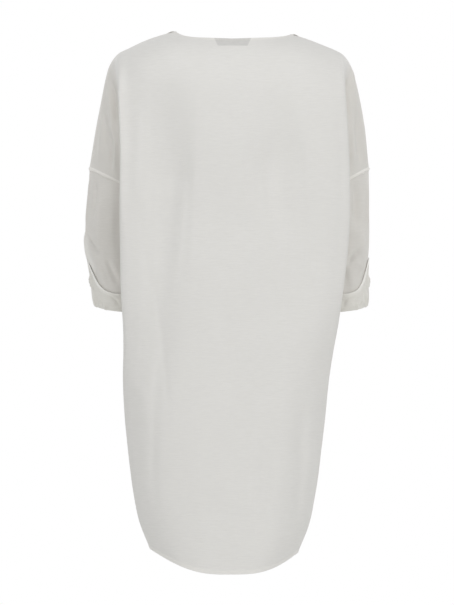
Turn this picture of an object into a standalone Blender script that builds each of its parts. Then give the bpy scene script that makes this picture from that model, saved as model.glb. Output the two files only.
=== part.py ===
"""Long loose v-neck shirt in thin cloth, held in the form it takes on a wearer.

The front faces -Y, the back +Y and +Z is up. The wearer's left is +X. The origin lies on the
centre plane at the height of the shoulders beside the neck, which carry the shirt.
Sizes in the tables are millimetres. A piece is a net of points on the middle of its cloth,
rows running down and columns running sideways, given a wall by moving the net both ways.
"""

import bpy
import numpy as np

MM = 0.001
WALL = 1.6 * MM
SEAM_GAP = 0.3 * MM

# Net counts. Columns run from the centre to the side of a panel, rows from the shoulder down.
NECK_COLUMNS = 6
RIDGE_COLUMN = 11
LAST_COLUMN = 20
ROUNDING_ROWS = 6
UNDERARM_ROW = 12
LAST_ROW = 28
RING = 2 * UNDERARM_ROW
SIDE_COLUMNS = LAST_COLUMN - RIDGE_COLUMN

# The neckline: half its width, its depth and drop behind, the V in front, and their curves.
# NECK_RISE is the slow rise from the centre back, before it turns up to the side neck point.
NECK_HALF = 103.3
NECK_DEPTH = 59.0
NECK_DROP = 14.2
NECK_RISE = 5.2
NECK_RISE_CURVE = 1.2
NECK_CURVE = 8.0
V_DROP = 165.0
V_FRONT = -108.0
V_CURVE_ACROSS = 1.05
V_CURVE_DOWN = 1.08

# How far below the shoulder the cloth has turned to hang, near the neck and at the fold, and the
# share of the way to the underarm at which a column has drifted to its place.
NECK_ROUND = 100.0
RIDGE_ROUND = 78.0
DRIFT_END = 0.8

# The seam along the shoulder and down the outside of the upper arm.
SHOULDER_COLUMNS = ("left", "z_left", "right", "z_right", "y")
SHOULDER = (
    (103.4, 2.5, 103.2, -2.6, -4),
    (137.0, -6.6, 130.0, -10.4, -4),
    (165.0, -17.4, 156.5, -20.7, -5),
    (187.0, -28.0, 177.6, -29.0, -6),
    (205.6, -37.6, 196.0, -39.2, -7),
    (216.2, -49.3, 205.2, -50.0, -8),
    (224.8, -71.6, 213.9, -71.0, -10),
    (236.3, -125.7, 227.2, -125.7, -16),
    (244.7, -168.0, 234.4, -168.0, -21),
    (257.2, -242.5, 242.4, -242.5, -30),
)
RIDGE_STATION = 4

# How far the back fold (left, right) and the side seam (side_left, side_right) stand out.
OUTLINE_COLUMNS = ("z", "left", "right", "side_left", "side_right")
OUTLINE = (
    (-60, 202.0, 198.0, 147.0, 145.0),
    (-120, 201.0, 199.0, 147.0, 145.0),
    (-200, 200.5, 202.0, 147.0, 145.0),
    (-271, 200.4, 205.0, 147.0, 145.0),
    (-294.5, 200.3, 205.2, 147.0, 145.0),
    (-300, 200.2, 205.2, 144.0, 142.0),
    (-310, 200.1, 205.1, 142.5, 140.5),
    (-330, 200.0, 205.0, 141.5, 139.5),
    (-405, 199.0, 199.8, 141.0, 138.0),
    (-458, 198.0, 193.0, 142.0, 137.0),
    (-498, 195.5, 188.0, 151.0, 145.0),
    (-530, 193.5, 182.5, 168.0, 159.0),
    (-556, 192.8, 177.5, 181.0, 168.0),
    (-605, 194.0, 169.0, 192.0, 167.5),
    (-680, 191.0, 161.5, 190.5, 161.0),
    (-733, 186.0, 155.5, 185.5, 155.0),
    (-786, 180.0, 149.5, 179.5, 149.0),
    (-825, 174.5, 143.0, 174.0, 142.5),
    (-855, 169.0, 137.0, 168.5, 136.5),
    (-890, 158.0, 128.5, 157.5, 128.0),
    (-918, 146.0, 116.0, 145.5, 115.5),
    (-965, 125.0, 92.0, 124.5, 91.5),
)

# Depths of the body at the centre back, back fold, side seam, centre front and chest corner.
DEPTH_COLUMNS = ("z", "back", "ridge", "seam", "front", "chest_x", "chest")
DEPTH = (
    (-60, 100, 66, -30, -98, 140, -80),
    (-120, 112, 80, -30, -112, 138, -88),
    (-200, 118, 86, -30, -122, 134, -92),
    (-294.5, 116, 84, -33, -126, 128, -93),
    (-330, 115, 83, -28, -127, 124, -94),
    (-405, 115, 81, -20, -128, 121, -95),
    (-458, 114, 79, -14, -129, 122, -95),
    (-498, 113, 74, -9, -130, 128, -94),
    (-556, 112, 66, -4, -130, 142, -90),
    (-605, 111, 60, -2, -129, 151, -85),
    (-680, 109, 56, 0, -127, 148, -81),
    (-786, 105, 51, 0, -124, 139, -79),
    (-855, 101, 46, 0, -121, 128, -77),
    (-918, 97, 43, 0, -118, 108, -74),
    (-965, 94, 42, 0, -116, 86, -72),
)

# How late the open back and chest curve towards their corners.
BACK_CURVE = 3.5
CHEST_CURVE = 3.0

# From the corner of a panel to the side seam: shares of the way across and forward.
TURN_COLUMNS = ("across", "forward")
TURNS = {
    "back": (
        (0.0, 0.0),
        (0.08, 0.07),
        (0.28, 0.17),
        (0.6, 0.26),
        (0.86, 0.38),
        (0.98, 0.66),
        (1.0, 1.0),
    ),
    "front": (
        (0.0, 0.0),
        (0.30, 0.16),
        (0.62, 0.38),
        (0.88, 0.66),
        (1.0, 1.0),
    ),
}

# Sleeve tube: outer and inner side, middle and half of its depth.
SLEEVE_COLUMNS = ("z", "out_left", "in_left", "out_right", "in_right", "y", "deep")
SLEEVE = (
    (-242.5, 257.2, 150.0, 242.4, 148.0, -30, 64),
    (-294.5, 260.3, 150.0, 243.4, 148.0, -33, 64),
    (-300, 261.0, 153.5, 243.4, 151.5, -34, 64),
    (-310, 262.0, 155.0, 243.4, 153.0, -36, 64),
    (-330, 263.8, 156.0, 243.7, 154.0, -40, 63),
    (-370, 266.4, 157.0, 244.5, 155.0, -48, 62),
    (-410, 259.4, 158.0, 241.4, 155.5, -56, 60),
    (-436, 254.6, 158.6, 240.2, 155.8, -61, 59),
    (-458, 252.4, 159.0, 241.4, 156.0, -64, 58),
    (-494, 248.6, 160.0, 241.4, 156.5, -70, 57),
)
ARMHOLE_MIDDLE = -268.5
ARMHOLE_TILT = 26.0
UNDERARM_Z = ARMHOLE_MIDDLE - ARMHOLE_TILT
SLEEVE_STEPS = (0, 6, 16, 36, 62, 92, 122, 150, 175, 200)
SLEEVE_END = -489.5
SLEEVE_END_TILT = 2.0
SLEEVE_END_LIFT = 8.0
SLEEVE_END_CURVE = 4

# The level line under the arm is lifted into a low arch. ARCH_PEAK brings the top of its curve,
# the square of a share times the rest, to one.
UNDERARM_ARCH = 8.0
ARCH_PEAK = 27 / 4

# The dent that the fold leaves in the cloth of the upper arm beside it: its place and width as
# shares of the way across, how far it goes in and back, and where down the arm it begins, is
# full, fades and ends. LEVEL_FADE is the share at which the level line is felt in full.
DENT_COLUMNS = ("at", "wide", "inward", "back", "begin", "full", "fade", "end")
DENTS = {
    "back": (0.26, 0.16, 18.0, -16.0, 0.05, 0.4, 0.75, 1.0),
    "front": (0.35, 0.20, 6.0, 8.0, 0.1, 0.5, 0.8, 1.0),
}
LEVEL_FADE = 0.75
RELAX_TIMES = 5
EVEN_TIMES = 5

# Cuff wall, as steps out from the sleeve and down from its end; a share of the rise on top,
# which is steep on the outside of the arm, where the turn-up is pulled up.
CUFF_COLUMNS = ("out", "down", "rise")
CUFF = (
    (0.0, 0.3, 0.0),
    (-1.4, 4.6, 0.0),
    (-0.2, 7.6, 0.0),
    (1.9, 4.8, 0.0),
    (3.4, -3.0, 0.1),
    (3.3, -13.0, 0.5),
    (2.4, -24.0, 1.0),
)
CUFF_RISE = 56.0
CUFF_RISE_CURVE = 9

# Hem: its middle, how far its ends rise above it, how late that rise comes on each side, and
# how much more it rises towards the slits.
HEM_Z = {"back": -958.5, "front": -952.0}
HEM_RISE = {"left": 41.0, "right": 34.0}
HEM_CURVE = {"left": 2.5, "right": 4.0}
HEM_CORNER = {"left": 14.0, "right": 19.5}

# Rows below the underarm, the top of the side slits, and how far they stand open at the hem.
LOWER_STEPS = (0, 6, 16, 36, 70, 110, 150, 190, 230, 275, 325, 385)
SLIT_ROW = UNDERARM_ROW + len(LOWER_STEPS) - 1
SLIT_TOP = -680.0
SLIT_OPEN = 7.0
SLIT_REACH = 4

# Soft folds hanging down a panel: where they start and end, width, depth (in is negative). They
# grow and fade over FOLD_ENDS of their length, and die out FOLD_MARGIN columns before the corner.
FOLD_ENDS = 0.25
FOLD_MARGIN = 4
FOLD_COLUMNS = ("x_top", "z_top", "x_end", "z_end", "wide", "deep")
BACK_FOLDS = (
    (92, -120, 140, -700, 34, -5.0),
    (-98, -130, -150, -560, 32, -4.5),
    (-120, -640, -112, -930, 22, -3.0),
    (40, -330, 62, -900, 40, 2.5),
    (150, -180, 160, -420, 20, 2.5),
)
FRONT_FOLDS = (
    (60, -190, 84, -760, 34, -5.0),
    (-64, -200, -80, -700, 32, -5.0),
    (10, -420, 22, -930, 36, 3.0),
)

# The label, as places on the net of the back: rows from its top, columns from the centre.
LABEL_ROWS = (0.06, 0.62)
LABEL_COLUMNS = (
    (-1.12, -1.0, 0.0, 1.0, 1.30),
    (-0.92, -0.85, 0.0, 0.9, 1.10),
)
LABEL_WALL = 0.8 * MM

# A direction that puts the points of every rim in one order, and the colours of the cloth.
RIM_ORDER = np.array([0.11, 0.37, 1.0])
CREAM = (0.80, 0.79, 0.76)
LABEL_GREY = (0.55, 0.54, 0.52)
ROUGHNESS = 0.85


def column(rows, names, name):
    """One named column of a table, as an array."""
    return np.array([row[names.index(name)] for row in rows], float)


def smooth(at, stations, values):
    """Cubic through the values at rising stations, with no overshoot, held flat past both ends."""
    at = np.clip(np.asarray(at, float), stations[0], stations[-1])
    steps = np.diff(stations)
    slopes = np.diff(values) / steps
    left, right = slopes[:-1], slopes[1:]
    safe = np.where(left * right > 0, left + right, 1.0)
    inner = np.where(left * right > 0, 2 * left * right / safe, 0.0)
    tangents = np.concatenate([slopes[:1], inner, slopes[-1:]])
    place = np.clip(np.searchsorted(stations, at, side="right") - 1, 0, len(steps) - 1)
    step = steps[place]
    t = (at - stations[place]) / step
    rise = (3 - 2 * t) * t * t
    return (
        values[place] * (1 - rise)
        + values[place + 1] * rise
        + step * t * (1 - t) * ((1 - t) * tangents[place] - t * tangents[place + 1])
    )


def ease(low, high, value):
    """0 below low, 1 above high, and a soft S between."""
    t = np.clip((value - low) / (high - low), 0, 1)
    return t * t * (3 - 2 * t)


def look_up(rows, names, name, z):
    """A table column at height z. The table runs down, so it is read from its last row up."""
    return smooth(z, column(rows, names, "z")[::-1], column(rows, names, name)[::-1])


def outline(name, z):
    return look_up(OUTLINE, OUTLINE_COLUMNS, name, z)


def depth(name, z):
    return look_up(DEPTH, DEPTH_COLUMNS, name, z)


def sleeve_size(name, z):
    return look_up(SLEEVE, SLEEVE_COLUMNS, name, z)


def hand(side):
    return "left" if side > 0 else "right"


def along(points, fractions):
    """Points at these shares of the length of a smooth curve through the given points."""
    points = np.array(points, float)
    length = np.concatenate([[0], np.cumsum(np.linalg.norm(np.diff(points, axis=0), axis=1))])
    at = np.asarray(fractions) * length[-1]
    return np.stack([smooth(at, length, points[:, axis]) for axis in range(3)], axis=1)


def shoulder(side, fractions, first, last):
    """The shoulder seam between two stations of its table."""
    x = side * column(SHOULDER, SHOULDER_COLUMNS, hand(side))
    z = column(SHOULDER, SHOULDER_COLUMNS, "z_" + hand(side))
    y = column(SHOULDER, SHOULDER_COLUMNS, "y")
    return along(np.stack([x, y, z], axis=1)[first : last + 1], fractions)


def neckline(panel, side):
    """Neck edge of half a panel from the centre to the side neck point."""
    share = np.linspace(0, 1, NECK_COLUMNS + 1)
    top = column(SHOULDER, SHOULDER_COLUMNS, "z_" + hand(side))[0]
    if panel == "back":
        turn = share * np.pi / 2
        x = NECK_HALF * np.sin(turn)
        y = SHOULDER[0][-1] + NECK_DEPTH * np.cos(turn)
        z = -NECK_DROP + NECK_RISE * np.sin(turn) ** NECK_RISE_CURVE
        z += (NECK_DROP - NECK_RISE + top) * np.sin(turn) ** NECK_CURVE
    else:
        x = NECK_HALF * share ** V_CURVE_ACROSS
        y = SHOULDER[0][-1] + (V_FRONT - SHOULDER[0][-1]) * np.sin((1 - share) * np.pi / 2)
        z = -V_DROP + (V_DROP + top) * share ** V_CURVE_DOWN
    return np.stack([side * x, y, z], axis=1)


def top_edge(panel, side):
    """Row 0 of half a panel: neck edge, shoulder seam, then the seam down the upper arm."""
    inner = np.linspace(0, 1, RIDGE_COLUMN - NECK_COLUMNS + 1)[1:]
    outer = np.linspace(0, 1, SIDE_COLUMNS + 1)[1:]
    return np.concatenate([
        neckline(panel, side),
        shoulder(side, inner, 0, RIDGE_STATION),
        shoulder(side, outer, RIDGE_STATION, len(SHOULDER) - 1),
    ])


def middle(z):
    return (outline("left", z) - outline("right", z)) / 2


def reach(panel, z):
    """Distance from the middle of a panel to its corner."""
    if panel == "back":
        return (outline("left", z) + outline("right", z)) / 2
    return depth("chest_x", z)


def level_depth(panel, side, x, z):
    """How far back or forward the open part of a panel lies at this place."""
    share = np.clip(side * (x - middle(z)) / reach(panel, z), 0, 1)
    if panel == "back":
        return depth("back", z) - (depth("back", z) - depth("ridge", z)) * share ** BACK_CURVE
    return depth("front", z) - (depth("front", z) - depth("chest", z)) * share ** CHEST_CURVE


def panel_point(panel, side, share, z):
    """A point of the open back or chest at this share of the way to its corner."""
    x = middle(z) + side * share * reach(panel, z)
    return np.array([x, level_depth(panel, side, x, z), z])


def side_points(panel, side, fractions, z):
    """The level line from a panel's corner, round the fold, to the side seam."""
    start = panel_point(panel, side, 1.0, z)
    end_y = depth("seam", z)
    end_x = side * outline("side_" + hand(side), z)
    across = column(TURNS[panel], TURN_COLUMNS, "across")
    forward = column(TURNS[panel], TURN_COLUMNS, "forward")
    x = start[0] + (end_x - start[0]) * across
    y = start[1] + (end_y - start[1]) * forward
    return along(np.stack([x, y, z + 0 * x], axis=1), fractions)


def armhole(side, panel):
    """Points of the armhole seam on one panel, from the outside of the arm to the underarm."""
    turn = np.linspace(0, np.pi, UNDERARM_ROW + 1)
    turn = turn if panel == "back" else -turn
    return sleeve_points(side, turn, ARMHOLE_MIDDLE + ARMHOLE_TILT * np.cos(turn))


def sleeve_points(side, turn, z):
    """Points of the sleeve tube at these angles (0 outside, a quarter turn behind) and heights."""
    out = sleeve_size("out_" + hand(side), z)
    inner = sleeve_size("in_" + hand(side), z)
    x = (out + inner) / 2 + (out - inner) / 2 * np.cos(turn)
    y = sleeve_size("y", z) + sleeve_size("deep", z) * np.sin(turn)
    return np.stack([side * x, y, z + 0 * turn], axis=1)


def upper_columns(panel, side, top):
    """Rows down to the underarm of the columns from the centre to the corner of a panel."""
    net = np.zeros((UNDERARM_ROW + 1, RIDGE_COLUMN + 1, 3))
    for c in range(RIDGE_COLUMN + 1):
        # The round of the shoulder starts at the seam, or part way round it at the neck edge.
        line_y = top[max(c, NECK_COLUMNS), 1]
        first = top[c, 1] - line_y
        first /= level_depth(panel, side, top[c, 0], top[c, 2]) - line_y
        first = np.arcsin(np.clip(first, 0, 1))
        drop = NECK_ROUND + (RIDGE_ROUND - NECK_ROUND) * ease(NECK_COLUMNS - 3, RIDGE_COLUMN, c)
        end = panel_point(panel, side, c / RIDGE_COLUMN, UNDERARM_Z)
        for r in range(UNDERARM_ROW + 1):
            turn = first + (np.pi / 2 - first) * min(r / ROUNDING_ROWS, 1)
            z = top[c, 2] - drop * (np.cos(first) - np.cos(turn))
            if r > ROUNDING_ROWS:
                z += (UNDERARM_Z - z) * (r - ROUNDING_ROWS) / (UNDERARM_ROW - ROUNDING_ROWS)
            down = (top[c, 2] - z) / (top[c, 2] - UNDERARM_Z)
            x = top[c, 0] + (end[0] - top[c, 0]) * ease(0, DRIFT_END, down)
            y = line_y + (level_depth(panel, side, x, z) - line_y) * np.sin(turn)
            net[r, c] = (x, y, z)
    return net


def even_out(net):
    """Spreads the rows over the shoulder evenly, so that no edge runs down from the neck."""
    share = 1 - ease(ROUNDING_ROWS, UNDERARM_ROW, np.arange(1, UNDERARM_ROW + 1))
    for _ in range(EVEN_TIMES):
        mean = (net[1:, :-2] + net[1:, 2:]) / 2
        net[1:, 1:-1] += (mean - net[1:, 1:-1]) / 2 * share[:, None, None]
    return net


def chord(points):
    """The straight line between the ends of a row of points, cut at even steps."""
    share = np.linspace(0, 1, len(points))[:, None]
    return points[0] * (1 - share) + points[-1] * share


def upper_side(panel, side, top, corner, armhole_points, level_points):
    """The patch over the upper arm, filled in from the four edges around it."""
    s = np.linspace(0, 1, SIDE_COLUMNS + 1)[None, :, None]
    t = np.linspace(0, 1, UNDERARM_ROW + 1)[:, None, None]
    seam = top[RIDGE_COLUMN:]
    flat = (
        (1 - t) * (1 - s) * seam[0]
        + (1 - t) * s * seam[-1]
        + t * (1 - s) * corner[-1]
        + t * s * level_points[-1]
    )
    flat = flat + (1 - t) * (seam - chord(seam))[None]
    flat = flat + ease(0.0, LEVEL_FADE, t) * (level_points - chord(level_points))[None]
    flat = flat + (1 - s) * (corner - chord(corner))[:, None]
    flat = flat + s * (armhole_points - chord(armhole_points))[:, None]
    dent = dict(zip(DENT_COLUMNS, DENTS[panel]))
    near = np.exp(-(((s - dent["at"]) / dent["wide"]) ** 2))
    high = ease(dent["begin"], dent["full"], t) * (1 - ease(dent["fade"], dent["end"], t))
    return flat + near * high * np.array([-side * dent["inward"], dent["back"], 0.0])


def lower_rows(panel, side):
    """Rows from the underarm to the hem, which is rounded up towards its ends."""
    fractions = np.linspace(0, 1, SIDE_COLUMNS + 1)
    net = np.zeros((LAST_ROW - UNDERARM_ROW + 1, LAST_COLUMN + 1, 3))
    low = UNDERARM_Z - LOWER_STEPS[-1]
    for c in range(LAST_COLUMN + 1):
        share = min(c / RIDGE_COLUMN, 1)
        past = max(c - RIDGE_COLUMN, 0) / SIDE_COLUMNS
        hem = HEM_Z[panel] + HEM_RISE[hand(side)] * share ** HEM_CURVE[hand(side)]
        hem += HEM_CORNER[hand(side)] * past ** 2
        for r in range(LAST_ROW - UNDERARM_ROW + 1):
            if r < len(LOWER_STEPS):
                z = UNDERARM_Z - LOWER_STEPS[r]
            else:
                z = low + (hem - low) * (r + UNDERARM_ROW - SLIT_ROW) / (LAST_ROW - SLIT_ROW)
            if c <= RIDGE_COLUMN:
                net[r, c] = panel_point(panel, side, share, z)
            else:
                net[r, c] = side_points(panel, side, fractions[c - RIDGE_COLUMN, None], z)[0]
    slit = ease(0, 1, (SLIT_TOP - net[..., 2]) / (SLIT_TOP - HEM_Z["back"]))
    near = (np.arange(LAST_COLUMN + 1) / LAST_COLUMN) ** SLIT_REACH
    net[..., 1] += (SLIT_OPEN if panel == "back" else -SLIT_OPEN) * slit * near[None, :]
    return net


def relax(net, fixed, times):
    """Evens out the inner points of a net, leaving the fixed ones where they are."""
    for _ in range(times):
        mean = net.copy()
        mean[1:-1, 1:-1] = (
            net[:-2, 1:-1] + net[2:, 1:-1] + net[1:-1, :-2] + net[1:-1, 2:]
        ) / 4
        net = np.where(fixed[..., None], net, (net + mean) / 2)
    return net


def half_panel(panel, side):
    """Half of the front or back, as a net of rows by columns from the centre outwards."""
    top = top_edge(panel, side)
    inner = upper_columns(panel, side, top)
    if panel == "back":
        inner = even_out(inner)
    fractions = np.linspace(0, 1, SIDE_COLUMNS + 1)
    level_points = side_points(panel, side, fractions, UNDERARM_Z)
    level_points[-1] = sleeve_points(side, np.array([np.pi]), np.array([UNDERARM_Z]))[0]
    level_points[:, 2] += UNDERARM_ARCH * ARCH_PEAK * fractions ** 2 * (1 - fractions)
    patch = upper_side(
        panel, side, top, inner[:, -1], armhole(side, panel), level_points
    )
    upper = np.concatenate([inner[:, :-1], patch], axis=1)
    net = np.concatenate([upper, lower_rows(panel, side)[1:]])
    fixed = np.ones(net.shape[:2], bool)
    fixed[2 : UNDERARM_ROW + 3, RIDGE_COLUMN + 1 : -1] = False
    return relax(net, fixed, RELAX_TIMES)


def add_folds(net, folds, facing):
    """Presses the soft hanging folds of a panel into its net."""
    x, z = net[..., 0], net[..., 2]
    off = np.abs(np.arange(net.shape[1]) - LAST_COLUMN)
    inner = 1 - ease(RIDGE_COLUMN - FOLD_MARGIN, RIDGE_COLUMN, off)
    for row in folds:
        fold = dict(zip(FOLD_COLUMNS, row))
        down = np.clip((z - fold["z_top"]) / (fold["z_end"] - fold["z_top"]), 0, 1)
        middle_x = fold["x_top"] + (fold["x_end"] - fold["x_top"]) * down
        share = ease(0, FOLD_ENDS, down) * (1 - ease(1 - FOLD_ENDS, 1, down))
        near = np.exp(-(((x - middle_x) / fold["wide"]) ** 2))
        net[..., 1] += facing * fold["deep"] * share * near * inner
    return net


def whole_panel(panel):
    """Both halves of a panel joined at the centre column."""
    right = half_panel(panel, -1)
    left = half_panel(panel, 1)
    net = np.concatenate([right[:, :0:-1], left], axis=1)
    net[:, LAST_COLUMN] = (right[:, 0] + left[:, 0]) / 2
    if panel == "back":
        return add_folds(net, BACK_FOLDS, 1)
    return add_folds(net, FRONT_FOLDS, -1)


def sleeve_end(turn):
    """Height of the sleeve's end, which is rounded up on the outside of the arm."""
    outside = (0.5 + 0.5 * np.cos(turn)) ** SLEEVE_END_CURVE
    return SLEEVE_END + SLEEVE_END_TILT * np.cos(turn) + SLEEVE_END_LIFT * outside


def sleeve_net(side):
    """Rings of the sleeve, the tilted armhole ring first and the end last."""
    turn = np.linspace(0, 2 * np.pi, RING, endpoint=False)
    first = ARMHOLE_MIDDLE + ARMHOLE_TILT * np.cos(turn)
    last = sleeve_end(turn)
    shares = np.array(SLEEVE_STEPS) / SLEEVE_STEPS[-1]
    rings = [sleeve_points(side, turn, first + (last - first) * share) for share in shares]
    return np.array(rings)


def cuff_net(side):
    """Rings of the turned-up cuff, from the sleeve's end down, round and up outside."""
    turn = np.linspace(0, 2 * np.pi, RING, endpoint=False)
    end = sleeve_end(turn)
    lift = CUFF_RISE * (0.5 + 0.5 * np.cos(turn)) ** CUFF_RISE_CURVE
    rings = []
    for row in CUFF:
        step = dict(zip(CUFF_COLUMNS, row))
        z = end - step["down"] + step["rise"] * lift
        ring = sleeve_points(side, turn, z)
        centre = ring.copy()
        both = sleeve_size("out_" + hand(side), z) + sleeve_size("in_" + hand(side), z)
        centre[:, 0] = side * both / 2
        centre[:, 1] = sleeve_size("y", z)
        away = ring - centre
        away /= np.linalg.norm(away, axis=1)[:, None]
        rings.append(ring + step["out"] * away)
    return np.array(rings)


def normals_of(net, ring=False):
    """Unit normals of a net from the directions of its rows and columns."""
    if ring:
        across = np.roll(net, -1, axis=1) - np.roll(net, 1, axis=1)
    else:
        across = np.gradient(net, axis=1)
    down = np.gradient(net, axis=0)
    normal = np.cross(across, down)
    return normal / np.linalg.norm(normal, axis=2)[..., None]


def share_normals(groups):
    """Gives the points that meet in a seam one common normal."""
    for members in groups:
        total = sum(normals[index] for normals, index in members)
        total = total / np.linalg.norm(total)
        for normals, index in members:
            normals[index] = total


def draw_back(net, normals, edge, inner, ring=False):
    """Step of half a seam gap from an edge of a net into its piece, square to the edge."""
    points = net[edge]
    if ring:
        run = np.roll(points, -1, axis=0) - np.roll(points, 1, axis=0)
    else:
        run = np.gradient(points, axis=0)
    square = np.cross(normals[edge], run)
    square /= np.linalg.norm(square, axis=1)[:, None]
    inwards = np.einsum("ij,ij->i", square, net[inner] - points)
    return square * np.sign(inwards)[:, None] * SEAM_GAP / MM / 2


def on_net(net, row, col):
    """A point of a net at a fractional row and column."""
    r, c = int(np.floor(row)), int(np.floor(col))
    u, v = row - r, col - c
    top = net[r, c] * (1 - v) + net[r, c + 1] * v
    low = net[r + 1, c] * (1 - v) + net[r + 1, c + 1] * v
    return top * (1 - u) + low * u


def add_shell(name, net, normals, wall, colour, ring=False):
    """Makes the closed solid of one piece from its net in millimetres."""
    rows, columns = net.shape[:2]
    spread = normals * wall / MM / 2
    points = np.concatenate([(net + spread).reshape(-1, 3), (net - spread).reshape(-1, 3)]) * MM
    inner = rows * columns
    faces = []
    last = columns if ring else columns - 1
    for r in range(rows - 1):
        for c in range(last):
            a = r * columns + c
            b = r * columns + (c + 1) % columns
            faces.append((a, b, b + columns))
            faces.append((a, b + columns, a + columns))
            faces.append((inner + a, inner + b + columns, inner + b))
            faces.append((inner + a, inner + a + columns, inner + b + columns))
    down = [r * columns for r in range(rows)]
    across = list(range(columns)) + ([0] if ring else [])
    rims = [] if ring else [down, [a + columns - 1 for a in down[::-1]]]
    rims += [across[::-1], [(rows - 1) * columns + c for c in across]]
    order = net.reshape(-1, 3) @ RIM_ORDER
    for rim in rims:
        for a, b in zip(rim[:-1], rim[1:]):
            # Both pieces at a seam cut its faces along the same diagonal, so the gap stays open.
            if order[a] > order[b]:
                faces.append((a, b, inner + b))
                faces.append((a, inner + b, inner + a))
            else:
                faces.append((a, b, inner + a))
                faces.append((b, inner + b, inner + a))
    corners = points[np.array(faces)]
    volume = np.einsum("ij,ij->i", corners[:, 0], np.cross(corners[:, 1], corners[:, 2])).sum()
    if volume < 0:
        faces = [face[::-1] for face in faces]
    mesh = bpy.data.meshes.new(name)
    mesh.from_pydata(points.tolist(), [], faces)
    mesh.validate()
    for polygon in mesh.polygons:
        polygon.use_smooth = True
    material = bpy.data.materials.new(name + "_cloth")
    material.use_nodes = True
    shader = material.node_tree.nodes["Principled BSDF"]
    shader.inputs["Base Color"].default_value = (*colour, 1)
    shader.inputs["Roughness"].default_value = ROUGHNESS
    mesh.materials.append(material)
    shirt.objects.link(bpy.data.objects.new(name, mesh))


for old in list(bpy.context.scene.objects):
    bpy.data.objects.remove(old, do_unlink=True)
shirt = bpy.data.collections.new("v_neck_shirt")
bpy.context.scene.collection.children.link(shirt)

back = whole_panel("back")
front = whole_panel("front")
sleeves = {side: sleeve_net(side) for side in (1, -1)}
cuffs = {side: cuff_net(side) for side in (1, -1)}
back_normals = normals_of(back)
front_normals = -normals_of(front)
sleeve_normals = {side: normals_of(net, True) * -side for side, net in sleeves.items()}
cuff_normals = {side: normals_of(net, True) * -side for side, net in cuffs.items()}

# Seams: the shoulders, the sides down to the slits, the armholes and the sleeves' ends.
width = 2 * LAST_COLUMN + 1
neck_start, neck_end = LAST_COLUMN - NECK_COLUMNS, LAST_COLUMN + NECK_COLUMNS
groups = []
for c in (*range(1, neck_start + 1), *range(neck_end, width - 1)):
    groups.append([(back_normals, (0, c)), (front_normals, (0, c))])
for r in range(UNDERARM_ROW + 1, SLIT_ROW + 1):
    for edge in (0, width - 1):
        groups.append([(back_normals, (r, edge)), (front_normals, (r, edge))])
for side in (1, -1):
    edge = width - 1 if side > 0 else 0
    sleeve = sleeve_normals[side]
    for r in range(1, UNDERARM_ROW):
        groups.append([(back_normals, (r, edge)), (sleeve, (0, r))])
        groups.append([(front_normals, (r, edge)), (sleeve, (0, RING - r))])
    for r in (0, UNDERARM_ROW):
        groups.append([(back_normals, (r, edge)), (front_normals, (r, edge)), (sleeve, (0, r))])
    for c in range(RING):
        groups.append([(sleeve, (-1, c)), (cuff_normals[side], (0, c))])
share_normals(groups)

for name, net, normals in (("back", back, back_normals), ("front", front, front_normals)):
    drawn = net.copy()
    for part in (slice(0, neck_start + 1), slice(neck_end, width)):
        drawn[0, part] += draw_back(net, normals, (0, part), (1, part))
    part = slice(0, SLIT_ROW + 1)
    for edge, inner in ((0, 1), (-1, -2)):
        drawn[part, edge] += draw_back(net, normals, (part, edge), (part, inner))
    add_shell(name, drawn, normals, WALL, CREAM)
for side in (1, -1):
    drawn = sleeves[side].copy()
    drawn[0] += draw_back(sleeves[side], sleeve_normals[side], 0, 1, ring=True)
    add_shell("sleeve_" + hand(side), drawn, sleeve_normals[side], WALL, CREAM, ring=True)
    add_shell("cuff_" + hand(side), cuffs[side], cuff_normals[side], WALL, CREAM, ring=True)

label = np.array([
    [on_net(back, row, LAST_COLUMN + col) for col in columns]
    for row, columns in zip(LABEL_ROWS, LABEL_COLUMNS)
])
label_normals = normals_of(label)
inward = (WALL / 2 + SEAM_GAP + LABEL_WALL / 2) / MM
add_shell("neck_label", label - label_normals * inward, label_normals, LABEL_WALL, LABEL_GREY)
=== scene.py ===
# %% [markdown]
# # A long, loose v-neck shirt in thin cream cloth
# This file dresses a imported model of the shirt. The frame gives the solids, in metres, with +Z up,
# the front towards -Y and the back towards +Y. The shirt keeps the form it takes on a wearer.
# Each cell makes one thing, and the notes before it say what it is on the real shirt.

# %% The frame
from functools import partial
import bpy
import numpy as np
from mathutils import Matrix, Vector
from mathutils.kdtree import KDTree


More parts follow.
